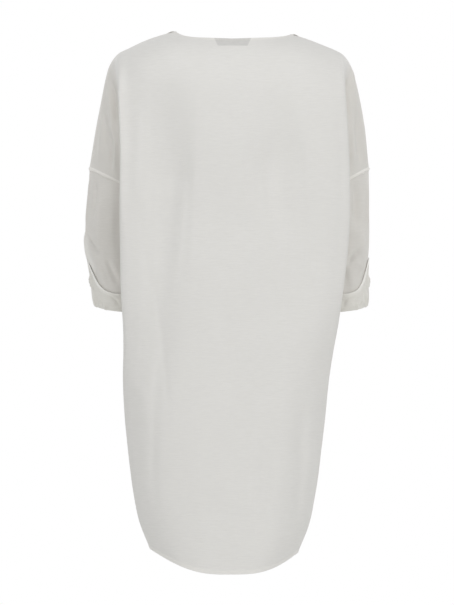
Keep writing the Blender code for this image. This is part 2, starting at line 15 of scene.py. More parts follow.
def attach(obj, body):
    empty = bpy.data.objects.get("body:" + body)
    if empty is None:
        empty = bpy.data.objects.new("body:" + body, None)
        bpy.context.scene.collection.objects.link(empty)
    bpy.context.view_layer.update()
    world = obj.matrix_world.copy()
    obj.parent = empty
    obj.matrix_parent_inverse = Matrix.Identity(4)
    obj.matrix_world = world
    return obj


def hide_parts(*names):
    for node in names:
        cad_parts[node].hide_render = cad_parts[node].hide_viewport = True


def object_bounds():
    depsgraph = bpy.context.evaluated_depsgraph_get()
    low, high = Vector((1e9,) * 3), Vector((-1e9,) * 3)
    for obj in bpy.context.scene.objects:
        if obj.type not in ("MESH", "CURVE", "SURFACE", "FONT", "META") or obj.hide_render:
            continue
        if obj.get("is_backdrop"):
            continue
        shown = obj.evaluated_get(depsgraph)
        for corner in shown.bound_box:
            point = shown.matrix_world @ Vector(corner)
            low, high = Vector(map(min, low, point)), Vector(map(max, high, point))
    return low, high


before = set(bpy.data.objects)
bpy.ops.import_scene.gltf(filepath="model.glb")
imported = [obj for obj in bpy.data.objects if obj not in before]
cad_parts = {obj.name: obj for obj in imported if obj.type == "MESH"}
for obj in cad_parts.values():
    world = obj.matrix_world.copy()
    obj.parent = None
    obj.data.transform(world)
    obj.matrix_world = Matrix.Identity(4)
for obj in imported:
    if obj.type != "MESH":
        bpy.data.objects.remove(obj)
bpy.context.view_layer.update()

# %% [markdown]
# ## Sizes
# The shirt was cut from flat cloth, but what shows is the way it hangs. So its sizes are kept as
# short tables, in millimetres: a row for each height, and a column for each thing that changes
# with height. They are the same sizes that the solids have, so the dressed pieces lie on them.
# An easier way would be one scanned shape, but then no size could be changed afterwards.

# %% Shoulders, neck and the outline of the body
MM = 0.001
NECK_COLUMNS, RIDGE_COLUMN, LAST_COLUMN = 6, 11, 20
OUTER_COLUMNS = LAST_COLUMN - RIDGE_COLUMN
ROUNDING_ROWS, UNDERARM_ROW, LAST_ROW = 6, 12, 28
RING = 2 * UNDERARM_ROW
NECK_HALF, NECK_DEPTH, NECK_DROP, NECK_CURVE = 103.3, 59.0, 14.2, 8.0
NECK_RISE, NECK_RISE_CURVE = 5.2, 1.2
V_DROP, V_FRONT, V_CURVE_ACROSS, V_CURVE_DOWN = 165.0, -108.0, 1.05, 1.08
NECK_ROUND, RIDGE_ROUND, ROUND_FROM = 100.0, 78.0, 3  # the last is a column
SHOULDER_COLUMNS = ("left", "z_left", "right", "z_right", "y")
SHOULDER = (
    (103.4, 2.5, 103.2, -2.6, -4),
    (137.0, -6.6, 130.0, -10.4, -4),
    (165.0, -17.4, 156.5, -20.7, -5),
    (187.0, -28.0, 177.6, -29.0, -6),
    (205.6, -37.6, 196.0, -39.2, -7),
    (216.2, -49.3, 205.2, -50.0, -8),
    (224.8, -71.6, 213.9, -71.0, -10),
    (236.3, -125.7, 227.2, -125.7, -16),
    (244.7, -168.0, 234.4, -168.0, -21),
    (257.2, -242.5, 242.4, -242.5, -30),
)
RIDGE_STATION = 4
OUTLINE_COLUMNS = ("z", "left", "right", "side_left", "side_right")
OUTLINE = (
    (-60, 202.0, 198.0, 147.0, 145.0),
    (-120, 201.0, 199.0, 147.0, 145.0),
    (-200, 200.5, 202.0, 147.0, 145.0),
    (-271, 200.4, 205.0, 147.0, 145.0),
    (-294.5, 200.3, 205.2, 147.0, 145.0),
    (-300, 200.2, 205.2, 144.0, 142.0),
    (-310, 200.1, 205.1, 142.5, 140.5),
    (-330, 200.0, 205.0, 141.5, 139.5),
    (-405, 199.0, 199.8, 141.0, 138.0),
    (-458, 198.0, 193.0, 142.0, 137.0),
    (-498, 195.5, 188.0, 151.0, 145.0),
    (-530, 193.5, 182.5, 168.0, 159.0),
    (-556, 192.8, 177.5, 181.0, 168.0),
    (-605, 194.0, 169.0, 192.0, 167.5),
    (-680, 191.0, 161.5, 190.5, 161.0),
    (-733, 186.0, 155.5, 185.5, 155.0),
    (-786, 180.0, 149.5, 179.5, 149.0),
    (-825, 174.5, 143.0, 174.0, 142.5),
    (-855, 169.0, 137.0, 168.5, 136.5),
    (-890, 158.0, 128.5, 157.5, 128.0),
    (-918, 146.0, 116.0, 145.5, 115.5),
    (-965, 125.0, 92.0, 124.5, 91.5),
)

# %% Depths of the body
DEPTH_COLUMNS = ("z", "back", "ridge", "seam", "front", "chest_x", "chest")
DEPTH = (
    (-60, 100, 66, -30, -98, 140, -80),
    (-120, 112, 80, -30, -112, 138, -88),
    (-200, 118, 86, -30, -122, 134, -92),
    (-294.5, 116, 84, -33, -126, 128, -93),
    (-330, 115, 83, -28, -127, 124, -94),
    (-405, 115, 81, -20, -128, 121, -95),
    (-458, 114, 79, -14, -129, 122, -95),
    (-498, 113, 74, -9, -130, 128, -94),
    (-556, 112, 66, -4, -130, 142, -90),
    (-605, 111, 60, -2, -129, 151, -85),
    (-680, 109, 56, 0, -127, 148, -81),
    (-786, 105, 51, 0, -124, 139, -79),
    (-855, 101, 46, 0, -121, 128, -77),
    (-918, 97, 43, 0, -118, 108, -74),
    (-965, 94, 42, 0, -116, 86, -72),
)

# %% Sleeves, cuffs and hem
SLEEVE_COLUMNS = ("z", "out_left", "in_left", "out_right", "in_right", "y", "deep")
SLEEVE = (
    (-242.5, 257.2, 150.0, 242.4, 148.0, -30, 64),
    (-294.5, 260.3, 150.0, 243.4, 148.0, -33, 64),
    (-300, 261.0, 153.5, 243.4, 151.5, -34, 64),
    (-310, 262.0, 155.0, 243.4, 153.0, -36, 64),
    (-330, 263.8, 156.0, 243.7, 154.0, -40, 63),
    (-370, 266.4, 157.0, 244.5, 155.0, -48, 62),
    (-410, 259.4, 158.0, 241.4, 155.5, -56, 60),
    (-436, 254.6, 158.6, 240.2, 155.8, -61, 59),
    (-458, 252.4, 159.0, 241.4, 156.0, -64, 58),
    (-494, 248.6, 160.0, 241.4, 156.5, -70, 57),
)
UNDERARM_ARCH = 8.0
ARCH_PEAK = 27 / 4  # as a * a * (1 - a) is at most 4 / 27
ARMHOLE_MIDDLE, ARMHOLE_TILT = -268.5, 26.0
UNDERARM_Z = ARMHOLE_MIDDLE - ARMHOLE_TILT
SLEEVE_STEPS = (0, 6, 16, 36, 62, 92, 122, 150, 175, 200)
SLEEVE_END, SLEEVE_END_TILT, SLEEVE_END_LIFT = -489.5, 2.0, 8.0
CUFF = (  # out from the sleeve, down from its end, share of the rise
    (0.0, 0.3, 0.0),
    (-1.4, 4.6, 0.0),
    (-0.2, 7.6, 0.0),
    (1.9, 4.8, 0.0),
    (3.4, -3.0, 0.1),
    (3.3, -13.0, 0.5),
    (2.4, -24.0, 1.0),
)
CUFF_RISE, CUFF_RISE_CURVE, SLEEVE_END_CURVE = 56.0, 9, 4
HEM_Z = {"back": -958.5, "front": -952.0}
HEM_RISE = {"left": 41.0, "right": 34.0}
HEM_CURVE = {"left": 2.5, "right": 4.0}
HEM_CORNER = {"left": 14.0, "right": 19.5}
SLIT_TOP, SLIT_OPEN, SLIT_CURVE = -680.0, 7.0, 4
LOWER_STEPS = (0, 6, 16, 36, 70, 110, 150, 190, 230, 275, 325, 385)
SLIT_ROW = UNDERARM_ROW + len(LOWER_STEPS) - 1

# %% [markdown]
# ## Reading the tables
# A table gives a size at a few heights. Between them a smooth curve is wanted that never swings
# past its own values, or the cloth would bulge where nobody asked for it. A monotone cubic does
# that, and numpy needs only a few lines for it.

# %% Curves through the tables
def column(rows, names, name):
    """One named column of a table."""
    return np.array([row[names.index(name)] for row in rows], float)


def smooth(at, stations, values):
    """Cubic through the values at rising stations, with no overshoot, held flat past both ends."""
    at = np.clip(np.asarray(at, float), stations[0], stations[-1])
    steps = np.diff(stations)
    slopes = np.diff(values) / steps
    left, right = slopes[:-1], slopes[1:]
    safe = np.where(left * right > 0, left + right, 1.0)
    inner = np.where(left * right > 0, 2 * left * right / safe, 0.0)
    tangents = np.concatenate([slopes[:1], inner, slopes[-1:]])
    place = np.clip(np.searchsorted(stations, at, side="right") - 1, 0, len(steps) - 1)
    step = steps[place]
    t = (at - stations[place]) / step
    rise = (3 - 2 * t) * t * t
    return (
        values[place] * (1 - rise)
        + values[place + 1] * rise
        + step * t * (1 - t) * ((1 - t) * tangents[place] - t * tangents[place + 1])
    )


def ease(low, high, value):
    """0 below low, 1 above high, and a soft S between."""
    t = np.clip((value - low) / (high - low), 0, 1)
    return t * t * (3 - 2 * t)


def look_up(rows, names, name, z):
    return smooth(z, column(rows, names, "z")[::-1], column(rows, names, name)[::-1])


outline = partial(look_up, OUTLINE, OUTLINE_COLUMNS)
depth = partial(look_up, DEPTH, DEPTH_COLUMNS)
sleeve_size = partial(look_up, SLEEVE, SLEEVE_COLUMNS)


def hand(side):
    return "left" if side > 0 else "right"


def lengths(line):
    """Length of a polyline up to each of its points."""
    return np.concatenate([[0], np.cumsum(np.linalg.norm(np.diff(line, axis=0), axis=1))])


def along(points, fractions):
    """Points at these shares of the length of a smooth curve through the given points."""
    points = np.array(points, float)
    length = lengths(points)
    at = np.asarray(fractions) * length[-1]
    return np.stack([smooth(at, length, points[:, axis]) for axis in range(3)], axis=1)

# %% [markdown]
# ## The front and back as nets
# A panel is a net of points: rows run down it and columns run across it. The top row follows the
# neck edge, the shoulder seam and the seam down the outside of the upper arm, because front and
# back are cut with the upper sleeve in one piece. A net can be refined and given a wall later.
# Sculpting could make the same shape, but not one that stays exact along its seams.

# %% Edges of a panel
def shoulder(side, fractions, first, last):
    x = side * column(SHOULDER, SHOULDER_COLUMNS, hand(side))
    z = column(SHOULDER, SHOULDER_COLUMNS, "z_" + hand(side))
    y = column(SHOULDER, SHOULDER_COLUMNS, "y")
    return along(np.stack([x, y, z], axis=1)[first : last + 1], fractions)


def neckline(panel, side):
    share = np.linspace(0, 1, NECK_COLUMNS + 1)
    top = column(SHOULDER, SHOULDER_COLUMNS, "z_" + hand(side))[0]
    if panel == "back":
        turn = share * np.pi / 2
        x = NECK_HALF * np.sin(turn)
        y = SHOULDER[0][-1] + NECK_DEPTH * np.cos(turn)
        z = -NECK_DROP + NECK_RISE * np.sin(turn) ** NECK_RISE_CURVE
        z += (NECK_DROP - NECK_RISE + top) * np.sin(turn) ** NECK_CURVE
    else:
        x = NECK_HALF * share ** V_CURVE_ACROSS
        y = SHOULDER[0][-1] + (V_FRONT - SHOULDER[0][-1]) * np.sin((1 - share) * np.pi / 2)
        z = -V_DROP + (V_DROP + top) * share ** V_CURVE_DOWN
    return np.stack([side * x, y, z], axis=1)


def top_edge(panel, side):
    inner = np.linspace(0, 1, RIDGE_COLUMN - NECK_COLUMNS + 1)[1:]
    outer = np.linspace(0, 1, OUTER_COLUMNS + 1)[1:]
    return np.concatenate([
        neckline(panel, side),
        shoulder(side, inner, 0, RIDGE_STATION),
        shoulder(side, outer, RIDGE_STATION, len(SHOULDER) - 1),
    ])

# %% Level lines of a panel
def middle(z):
    return (outline("left", z) - outline("right", z)) / 2


def reach(panel, z):
    if panel == "back":
        return (outline("left", z) + outline("right", z)) / 2
    return depth("chest_x", z)


LEVELS = {"back": ("back", "ridge", 3.5), "front": ("front", "chest", 3.0)}  # middle, fold, curve


def level_depth(panel, side, x, z):
    inner, outer, curve = LEVELS[panel]
    share = np.clip(side * (x - middle(z)) / reach(panel, z), 0, 1)
    return depth(inner, z) - (depth(inner, z) - depth(outer, z)) * share ** curve


def panel_point(panel, side, share, z):
    x = middle(z) + side * share * reach(panel, z)
    return np.array([x, level_depth(panel, side, x, z), z])


TURNS = {  # share of the way across and forward, from the fold to the side seam
    "back": ((0.0, 0.0), (0.08, 0.07), (0.28, 0.17), (0.6, 0.26), (0.86, 0.38), (0.98, 0.66),
             (1.0, 1.0)),
    "front": ((0.0, 0.0), (0.30, 0.16), (0.62, 0.38), (0.88, 0.66), (1.0, 1.0)),
}


def side_points(panel, side, fractions, z):
    start = panel_point(panel, side, 1.0, z)
    end_y = depth("seam", z)
    end_x = side * outline("side_" + hand(side), z)
    points = [
        (start[0] + (end_x - start[0]) * across, start[1] + (end_y - start[1]) * forward, z)
        for across, forward in TURNS[panel]
    ]
    return along(points, fractions)

# %% The sleeve as a tube, which the armhole seam lies on
def sleeve_points(side, turn, z):
    out = sleeve_size("out_" + hand(side), z)
    inner = sleeve_size("in_" + hand(side), z)
    x = (out + inner) / 2 + (out - inner) / 2 * np.cos(turn)
    y = sleeve_size("y", z) + sleeve_size("deep", z) * np.sin(turn)
    return np.stack([side * x, y, z + 0 * turn], axis=1)


def armhole(side, panel):
    turn = np.linspace(0, np.pi, UNDERARM_ROW + 1)
    turn = turn if panel == "back" else -turn
    return sleeve_points(side, turn, ARMHOLE_MIDDLE + ARMHOLE_TILT * np.cos(turn))

# %% [markdown]
# ## Upper part of a panel
# From the neck and shoulder the cloth turns over the shoulder blades and then hangs. Beside that
# lies the patch over the upper arm, which has four known edges: the shoulder seam, the fold, the
# armhole and the level of the underarm. A Coons patch fills in between four edges.

# %% Net of the shoulders and the upper arm
DRIFT_END, LEVEL_FADE, EVEN_TIMES = 0.8, 0.75, 5  # the first two are shares of the way down
DENTS = {  # hollow of the patch: place across, width, inward, back, then begin, full, fade, end
    "back": (0.26, 0.16, 18.0, -16.0, 0.05, 0.4, 0.75, 1.0),
    "front": (0.35, 0.2, 6.0, 8.0, 0.1, 0.5, 0.8, 1.0),
}


def upper_columns(panel, side, top):
    net = np.zeros((UNDERARM_ROW + 1, RIDGE_COLUMN + 1, 3))
    level = UNDERARM_Z
    for c in range(RIDGE_COLUMN + 1):
        line_y = top[max(c, NECK_COLUMNS), 1]
        first = top[c, 1] - line_y
        first /= level_depth(panel, side, top[c, 0], top[c, 2]) - line_y
        first = np.arcsin(np.clip(first, 0, 1))
        drop = NECK_ROUND + (RIDGE_ROUND - NECK_ROUND) * ease(ROUND_FROM, RIDGE_COLUMN, c)
        end = panel_point(panel, side, c / RIDGE_COLUMN, level)
        for r in range(UNDERARM_ROW + 1):
            turn = first + (np.pi / 2 - first) * min(r / ROUNDING_ROWS, 1)
            z = top[c, 2] - drop * (np.cos(first) - np.cos(turn))
            if r > ROUNDING_ROWS:
                z += (level - z) * (r - ROUNDING_ROWS) / (UNDERARM_ROW - ROUNDING_ROWS)
            down = (top[c, 2] - z) / (top[c, 2] - level)
            x = top[c, 0] + (end[0] - top[c, 0]) * ease(0, DRIFT_END, down)
            y = line_y + (level_depth(panel, side, x, z) - line_y) * np.sin(turn)
            net[r, c] = (x, y, z)
    return net


def even_out(net):
    """Spreads the rows over the shoulder evenly, so that no edge runs down from the neck."""
    share = 1 - ease(ROUNDING_ROWS, UNDERARM_ROW, np.arange(1, UNDERARM_ROW + 1))
    for _ in range(EVEN_TIMES):
        mean = (net[1:, :-2] + net[1:, 2:]) / 2
        net[1:, 1:-1] += (mean - net[1:, 1:-1]) / 2 * share[:, None, None]
    return net

# %% The patch over the upper arm
def chord(points):
    share = np.linspace(0, 1, len(points))[:, None]
    return points[0] * (1 - share) + points[-1] * share


def upper_side(panel, side, top, corner, armhole_points, level_points):
    s = np.linspace(0, 1, OUTER_COLUMNS + 1)[None, :, None]
    t = np.linspace(0, 1, UNDERARM_ROW + 1)[:, None, None]
    seam = top[RIDGE_COLUMN:]
    flat = (
        (1 - t) * (1 - s) * seam[0]
        + (1 - t) * s * seam[-1]
        + t * (1 - s) * corner[-1]
        + t * s * level_points[-1]
    )
    flat = flat + (1 - t) * (seam - chord(seam))[None]
    flat = flat + ease(0.0, LEVEL_FADE, t) * (level_points - chord(level_points))[None]
    flat = flat + (1 - s) * (corner - chord(corner))[:, None]
    flat = flat + s * (armhole_points - chord(armhole_points))[:, None]
    at, wide, inward, back, begin, full, fade, end = DENTS[panel]
    near = np.exp(-(((s - at) / wide) ** 2))
    high = ease(begin, full, t) * (1 - ease(fade, end, t))
    return flat + near * high * np.array([-side * inward, back, 0.0])

# %% Net of the body below the arms, down to the rounded hem
def lower_rows(panel, side):
    fractions = np.linspace(0, 1, OUTER_COLUMNS + 1)
    net = np.zeros((LAST_ROW - UNDERARM_ROW + 1, LAST_COLUMN + 1, 3))
    low = UNDERARM_Z - LOWER_STEPS[-1]
    for r in range(LAST_ROW - UNDERARM_ROW + 1):
        for c in range(LAST_COLUMN + 1):
            share = min(c / RIDGE_COLUMN, 1)
            to_seam = max(c - RIDGE_COLUMN, 0) / OUTER_COLUMNS
            hem = HEM_Z[panel] + HEM_RISE[hand(side)] * share ** HEM_CURVE[hand(side)]
            hem += HEM_CORNER[hand(side)] * to_seam ** 2
            if r < len(LOWER_STEPS):
                z = UNDERARM_Z - LOWER_STEPS[r]
            else:
                z = low + (hem - low) * (r - len(LOWER_STEPS) + 1) / (LAST_ROW - SLIT_ROW)
            if c <= RIDGE_COLUMN:
                net[r, c] = panel_point(panel, side, share, z)
            else:
                net[r, c] = side_points(panel, side, [fractions[c - RIDGE_COLUMN]], z)[0]
    slit = ease(0, 1, (SLIT_TOP - net[..., 2]) / (SLIT_TOP - HEM_Z["back"]))
    near = (np.arange(LAST_COLUMN + 1) / LAST_COLUMN) ** SLIT_CURVE
    net[..., 1] += (SLIT_OPEN if panel == "back" else -SLIT_OPEN) * slit * near[None, :]
    return net

# %% Soft hanging folds that the solids have too
RELAX_TIMES = 5
FOLD_ENDS, FOLD_MARGIN = 0.25, 4  # share of a fold's length, and columns beside the ridge
BACK_FOLDS = (  # x and z where it starts, x and z where it ends, width, height
    (92, -120, 140, -700, 34, -5.0),
    (-98, -130, -150, -560, 32, -4.5),
    (-120, -640, -112, -930, 22, -3.0),
    (40, -330, 62, -900, 40, 2.5),
    (150, -180, 160, -420, 20, 2.5),
)
FRONT_FOLDS = (
    (60, -190, 84, -760, 34, -5.0),
    (-64, -200, -80, -700, 32, -5.0),
    (10, -420, 22, -930, 36, 3.0),
)


def relax(net, fixed, times):
    for _ in range(times):
        mean = net.copy()
        mean[1:-1, 1:-1] = (
            net[:-2, 1:-1] + net[2:, 1:-1] + net[1:-1, :-2] + net[1:-1, 2:]
        ) / 4
        net = np.where(fixed[..., None], net, (net + mean) / 2)
    return net


def add_folds(net, folds, facing):
    x, z = net[..., 0], net[..., 2]
    column_off = np.abs(np.arange(net.shape[1]) - LAST_COLUMN)
    fade = 1 - ease(RIDGE_COLUMN - FOLD_MARGIN, RIDGE_COLUMN, column_off)
    for x_top, z_top, x_end, z_end, wide, deep in folds:
        down = np.clip((z - z_top) / (z_end - z_top), 0, 1)
        middle_x = x_top + (x_end - x_top) * down
        share = ease(0, FOLD_ENDS, down) * (1 - ease(1 - FOLD_ENDS, 1, down))
        net[..., 1] += facing * deep * share * fade * np.exp(-(((x - middle_x) / wide) ** 2))
    return net

# %% Whole panels
def half_panel(panel, side):
    top = top_edge(panel, side)
    inner = upper_columns(panel, side, top)
    if panel == "back":
        inner = even_out(inner)
    fractions = np.linspace(0, 1, OUTER_COLUMNS + 1)
    level_points = side_points(panel, side, fractions, UNDERARM_Z)
    level_points[-1] = sleeve_points(side, np.array([np.pi]), np.array([UNDERARM_Z]))[0]
    level_points[:, 2] += UNDERARM_ARCH * ARCH_PEAK * fractions ** 2 * (1 - fractions)
    patch = upper_side(panel, side, top, inner[:, -1], armhole(side, panel), level_points)
    upper = np.concatenate([inner[:, :-1], patch], axis=1)
    net = np.concatenate([upper, lower_rows(panel, side)[1:]])
    fixed = np.ones(net.shape[:2], bool)
    fixed[2 : UNDERARM_ROW + 3, RIDGE_COLUMN + 1 : -1] = False
    return relax(net, fixed, RELAX_TIMES)


def whole_panel(panel):
    right, left = half_panel(panel, -1), half_panel(panel, 1)
    net = np.concatenate([right[:, :0:-1], left], axis=1)
    net[:, LAST_COLUMN] = (right[:, 0] + left[:, 0]) / 2
    if panel == "back":
        return add_folds(net, BACK_FOLDS, 1)
    return add_folds(net, FRONT_FOLDS, -1)

# %% Rings of the sleeves and the cuffs
def ring_turns():
    return np.linspace(0, 2 * np.pi, RING, endpoint=False)


def outside(turn, curve):
    """1 on the outside of the arm, and 0 on its inside."""
    return (0.5 + 0.5 * np.cos(turn)) ** curve


def sleeve_end(turn):
    """Height of the sleeve's end, which is rounded up on the outside of the arm."""
    lift = SLEEVE_END_LIFT * outside(turn, SLEEVE_END_CURVE)
    return SLEEVE_END + SLEEVE_END_TILT * np.cos(turn) + lift


def sleeve_net(side):
    turn = ring_turns()
    first = ARMHOLE_MIDDLE + ARMHOLE_TILT * np.cos(turn)
    last = sleeve_end(turn)
    shares = np.array(SLEEVE_STEPS) / SLEEVE_STEPS[-1]
    return np.array([sleeve_points(side, turn, first + (last - first) * s) for s in shares])


def cuff_net(side):
    turn = ring_turns()
    end = sleeve_end(turn)
    lift = CUFF_RISE * outside(turn, CUFF_RISE_CURVE)
    rings = []
    for out, down, rise in CUFF:
        z = end - down + rise * lift
        ring = sleeve_points(side, turn, z)
        centre = ring.copy()
        spread = sleeve_size("out_" + hand(side), z) + sleeve_size("in_" + hand(side), z)
        centre[:, 0] = side * spread / 2
        centre[:, 1] = sleeve_size("y", z)
        away = ring - centre
        rings.append(ring + out * away / np.linalg.norm(away, axis=1)[:, None])
    return np.array(rings)

# %% All the coarse nets
PANELS = ("back", "front")
SLEEVES, CUFFS = ("sleeve_left", "sleeve_right"), ("cuff_left", "cuff_right")
coarse = {name: whole_panel(name) for name in PANELS}
for side in (1, -1):
    coarse["sleeve_" + hand(side)] = sleeve_net(side)
    coarse["cuff_" + hand(side)] = cuff_net(side)
print("coarse nets:", {name: net.shape[:2] for name, net in coarse.items()})

# %% [markdown]
# ## Finer nets
# The solids are kept coarse. Cloth in a close view needs a point every few millimetres, and more
# along an edge where a hem is turned. A Catmull-Rom curve goes through every point of the coarse
# net, so the fine cloth stays on its solid. A Subdivision Surface would shrink away from it.

# %% Catmull-Rom in both directions
def weights(at, count, ring):
    """Matrix that turns count points into the points at these fractional places."""
    matrix = np.zeros((len(at), count))
    for i, place in enumerate(at):
        k = int(np.floor(place)) if ring else min(int(np.floor(place)), count - 2)
        t = place - k
        share = (
            0.5 * (-t + 2 * t ** 2 - t ** 3),
            0.5 * (2 - 5 * t ** 2 + 3 * t ** 3),
            0.5 * (t + 4 * t ** 2 - 3 * t ** 3),
            0.5 * (-t ** 2 + t ** 3),
        )
        for step, part in zip((-1, 0, 1, 2), share):
            j = k + step
            if ring:
                matrix[i, j % count] += part
            elif j < 0:
                matrix[i, 0] += 2 * part
                matrix[i, 1] -= part
            elif j >= count:
                matrix[i, count - 1] += 2 * part
                matrix[i, count - 2] -= part
            else:
                matrix[i, j] += part
    return matrix


def places(last, cuts, near_start=(), near_end=()):
    """Even places with this many cuts a step, and some more close to the ends."""
    even = np.linspace(0, last, last * cuts + 1)
    return np.unique(np.round(np.concatenate([even, near_start, last - np.array(near_end)]), 5))


def finer(net, rows, columns, ring=False):
    """The net at fractional rows and columns."""
    down = weights(rows, net.shape[0], False)
    across = weights(columns, net.shape[1], ring)
    return np.einsum("ar,rck,bc->abk", down, net, across)


HEM_STEPS = (0.012, 0.04, 0.075, 0.105, 0.13, 0.155, 0.19, 0.24)
NECK_STEPS = (0.02, 0.07, 0.12, 0.18, 0.22, 0.26, 0.31, 0.40)
ROWS = places(LAST_ROW, 6, NECK_STEPS, HEM_STEPS)
COLUMNS = places(2 * LAST_COLUMN, 6, (0.06, 0.25, 0.42), (0.06, 0.25, 0.42))
RING_AT = np.linspace(0, RING, RING * 8, endpoint=False)
SLEEVE_AT = places(len(SLEEVE_STEPS) - 1, 8, (0.06, 0.3, 0.55), ())
CUFF_AT = places(len(CUFF) - 1, 8)

fine = {name: finer(coarse[name], ROWS, COLUMNS) for name in PANELS}
for sleeve, cuff in zip(SLEEVES, CUFFS):
    fine[sleeve] = finer(coarse[sleeve], SLEEVE_AT, RING_AT, True)
    fine[cuff] = finer(coarse[cuff], CUFF_AT, RING_AT, True)
print("fine nets:", {name: net.shape[:2] for name, net in fine.items()})

# %% [markdown]
# ## Normals and distances
# Creases are pushed along the normal of the cloth. A hem needs to know how far each point lies
# from its edge, and a KD tree answers that for any edge, however it curves.

# %% Normals, and distance to an edge
def normals_of(net, ring=False):
    if ring:
        across = np.roll(net, -1, axis=1) - np.roll(net, 1, axis=1)
    else:
        across = np.gradient(net, axis=1)
    normal = np.cross(across, np.gradient(net, axis=0))
    return normal / np.linalg.norm(normal, axis=2)[..., None]


def outward(name, net):
    """Normals that point out of the shirt."""
    if name == "back":
        return normals_of(net)
    if name == "front":
        return -normals_of(net)
    return normals_of(net, True) * (-1 if name.endswith("left") else 1)


def densely(points, every=0.6):
    """The same polyline with a point at least every so many millimetres."""
    made = [points[:1]]
    for a, b in zip(points[:-1], points[1:]):
        count = max(int(np.ceil(np.linalg.norm(b - a) / every)), 1)
        share = np.arange(1, count + 1)[:, None] / count
        made.append(a + (b - a) * share)
    return np.concatenate(made)


def distance(net, edges, limit=14.0):
    """Distance of each point of a net to the nearest of these edges, up to a limit."""
    points = np.concatenate([densely(edge) for edge in edges])
    tree = KDTree(len(points))
    for i, point in enumerate(points):
        tree.insert(point, i)
    tree.balance()
    low, high = points.min(axis=0) - limit, points.max(axis=0) + limit
    flat = net.reshape(-1, 3)
    found = np.full(len(flat), limit)
    for i in np.nonzero(np.all((flat > low) & (flat < high), axis=1))[0]:
        found[i] = min(tree.find(flat[i])[2], limit)
    return found.reshape(net.shape[:2])

# %% [markdown]
# ## Creases
# Thin cloth never hangs quite smooth. Each crease is one row of a table: where it starts and ends,
# how far its middle bends aside, its width, and its height (a trough is negative). They are placed
# one by one and differ in length, depth and spacing, because even creases look like corrugated iron.
# A cloth simulation would give its own creases, but not the ones that this shirt has.

# %% Pressing creases into a net
CREASE_PAST, CREASE_ENDS = 0.06, 0.3  # shares of its length over which a crease fades out


def crease_height(u, v, rows):
    """Height of all creases of a table at these places, in millimetres."""
    height = np.zeros(u.shape)
    for u0, v0, u1, v1, bend, wide, deep in rows:
        run = np.array([u1 - u0, v1 - v0], float)
        length = np.linalg.norm(run)
        run /= length
        t = ((u - u0) * run[0] + (v - v0) * run[1]) / length
        off = (u - u0) * run[1] - (v - v0) * run[0]
        inside = np.clip(t, 0, 1)
        off = off - bend * 4 * inside * (1 - inside)
        ends = ease(-CREASE_PAST, CREASE_ENDS, t) * (1 - ease(1 - CREASE_ENDS, 1 + CREASE_PAST, t))
        height += deep * ends * np.exp(-((off / wide) ** 2))
    return height

# %% Creases of the back and the front, as x and z on the open panel
BACK_CREASES = (
    (74, -130, 128, -700, -14, 17, -2.4),
    (80, -205, 96, -470, 7, 7, -1.1),
    (147, -420, 112, -690, 4, 6, -1.0),
    (132, -560, 141, -840, -3, 8, -1.3),
    (-96, -150, -150, -520, 9, 15, -2.2),
    (-112, -260, -128, -500, 3, 7, -0.9),
    (-124, -420, -142, -560, 2, 9, -1.3),
    (-122, -640, -112, -880, 3, 10, -1.8),
    (-40, -190, -22, -330, 3, 9, 0.8),
    (-18, -120, -26, -260, 2, 12, 0.7),
    (30, -430, 38, -640, -3, 14, 0.7),
    (-46, -560, -52, -800, 2, 16, 0.8),
    (66, -700, 58, -930, 2, 16, 0.9),
    (172, -130, 178, -300, 2, 7, 0.8),
    (-176, -120, -182, -290, -2, 8, 0.8),
    (186, -620, 150, -652, 3, 5, 0.9),
    (188, -700, 152, -690, -2, 5, -0.8),
    (186, -655, 160, -668, 1, 4, -0.7),
    (-158, -650, -128, -672, -3, 5, 1.3),
    (-160, -668, -118, -690, -3, 5, -0.9),
    (-158, -700, -126, -706, 2, 5, 0.8),
    (-156, -730, -132, -820, 2, 6, -0.8),
    (168, -300, 150, -520, 4, 9, -0.8),
)
FRONT_CREASES = (
    (86, -90, 60, -260, 6, 9, -1.3),
    (-84, -95, -66, -240, -5, 8, -1.2),
    (40, -190, 66, -700, -9, 15, -2.0),
    (-44, -210, -70, -640, 8, 14, -2.2),
    (118, -300, 96, -520, 5, 7, -1.1),
    (-116, -310, -100, -560, -4, 8, -1.0),
    (6, -260, 12, -520, 3, 12, 0.9),
    (-20, -560, -28, -900, 3, 15, 1.1),
    (92, -640, 84, -900, -3, 11, -1.4),
    (-96, -660, -88, -890, 3, 10, -1.3),
    (150, -640, 116, -664, -2, 5, 1.0),
    (-148, -648, -112, -676, 2, 5, 1.1),
    (150, -690, 120, -686, 1, 5, -0.8),
    (-146, -700, -118, -702, 1, 4, -0.8),
    (30, -170, 70, -120, 3, 6, 0.7),
    (-28, -172, -66, -126, -3, 6, 0.7),
)

# %% [markdown]
# ## Long slopes
# Below the shoulder blades the back hangs in a few broad slopes, each bright on its ridge and
# darker on the side that falls away. A crease is the same on both sides, so these have a profile
# of their own. Its ridge, width and height change with the height on the shirt.

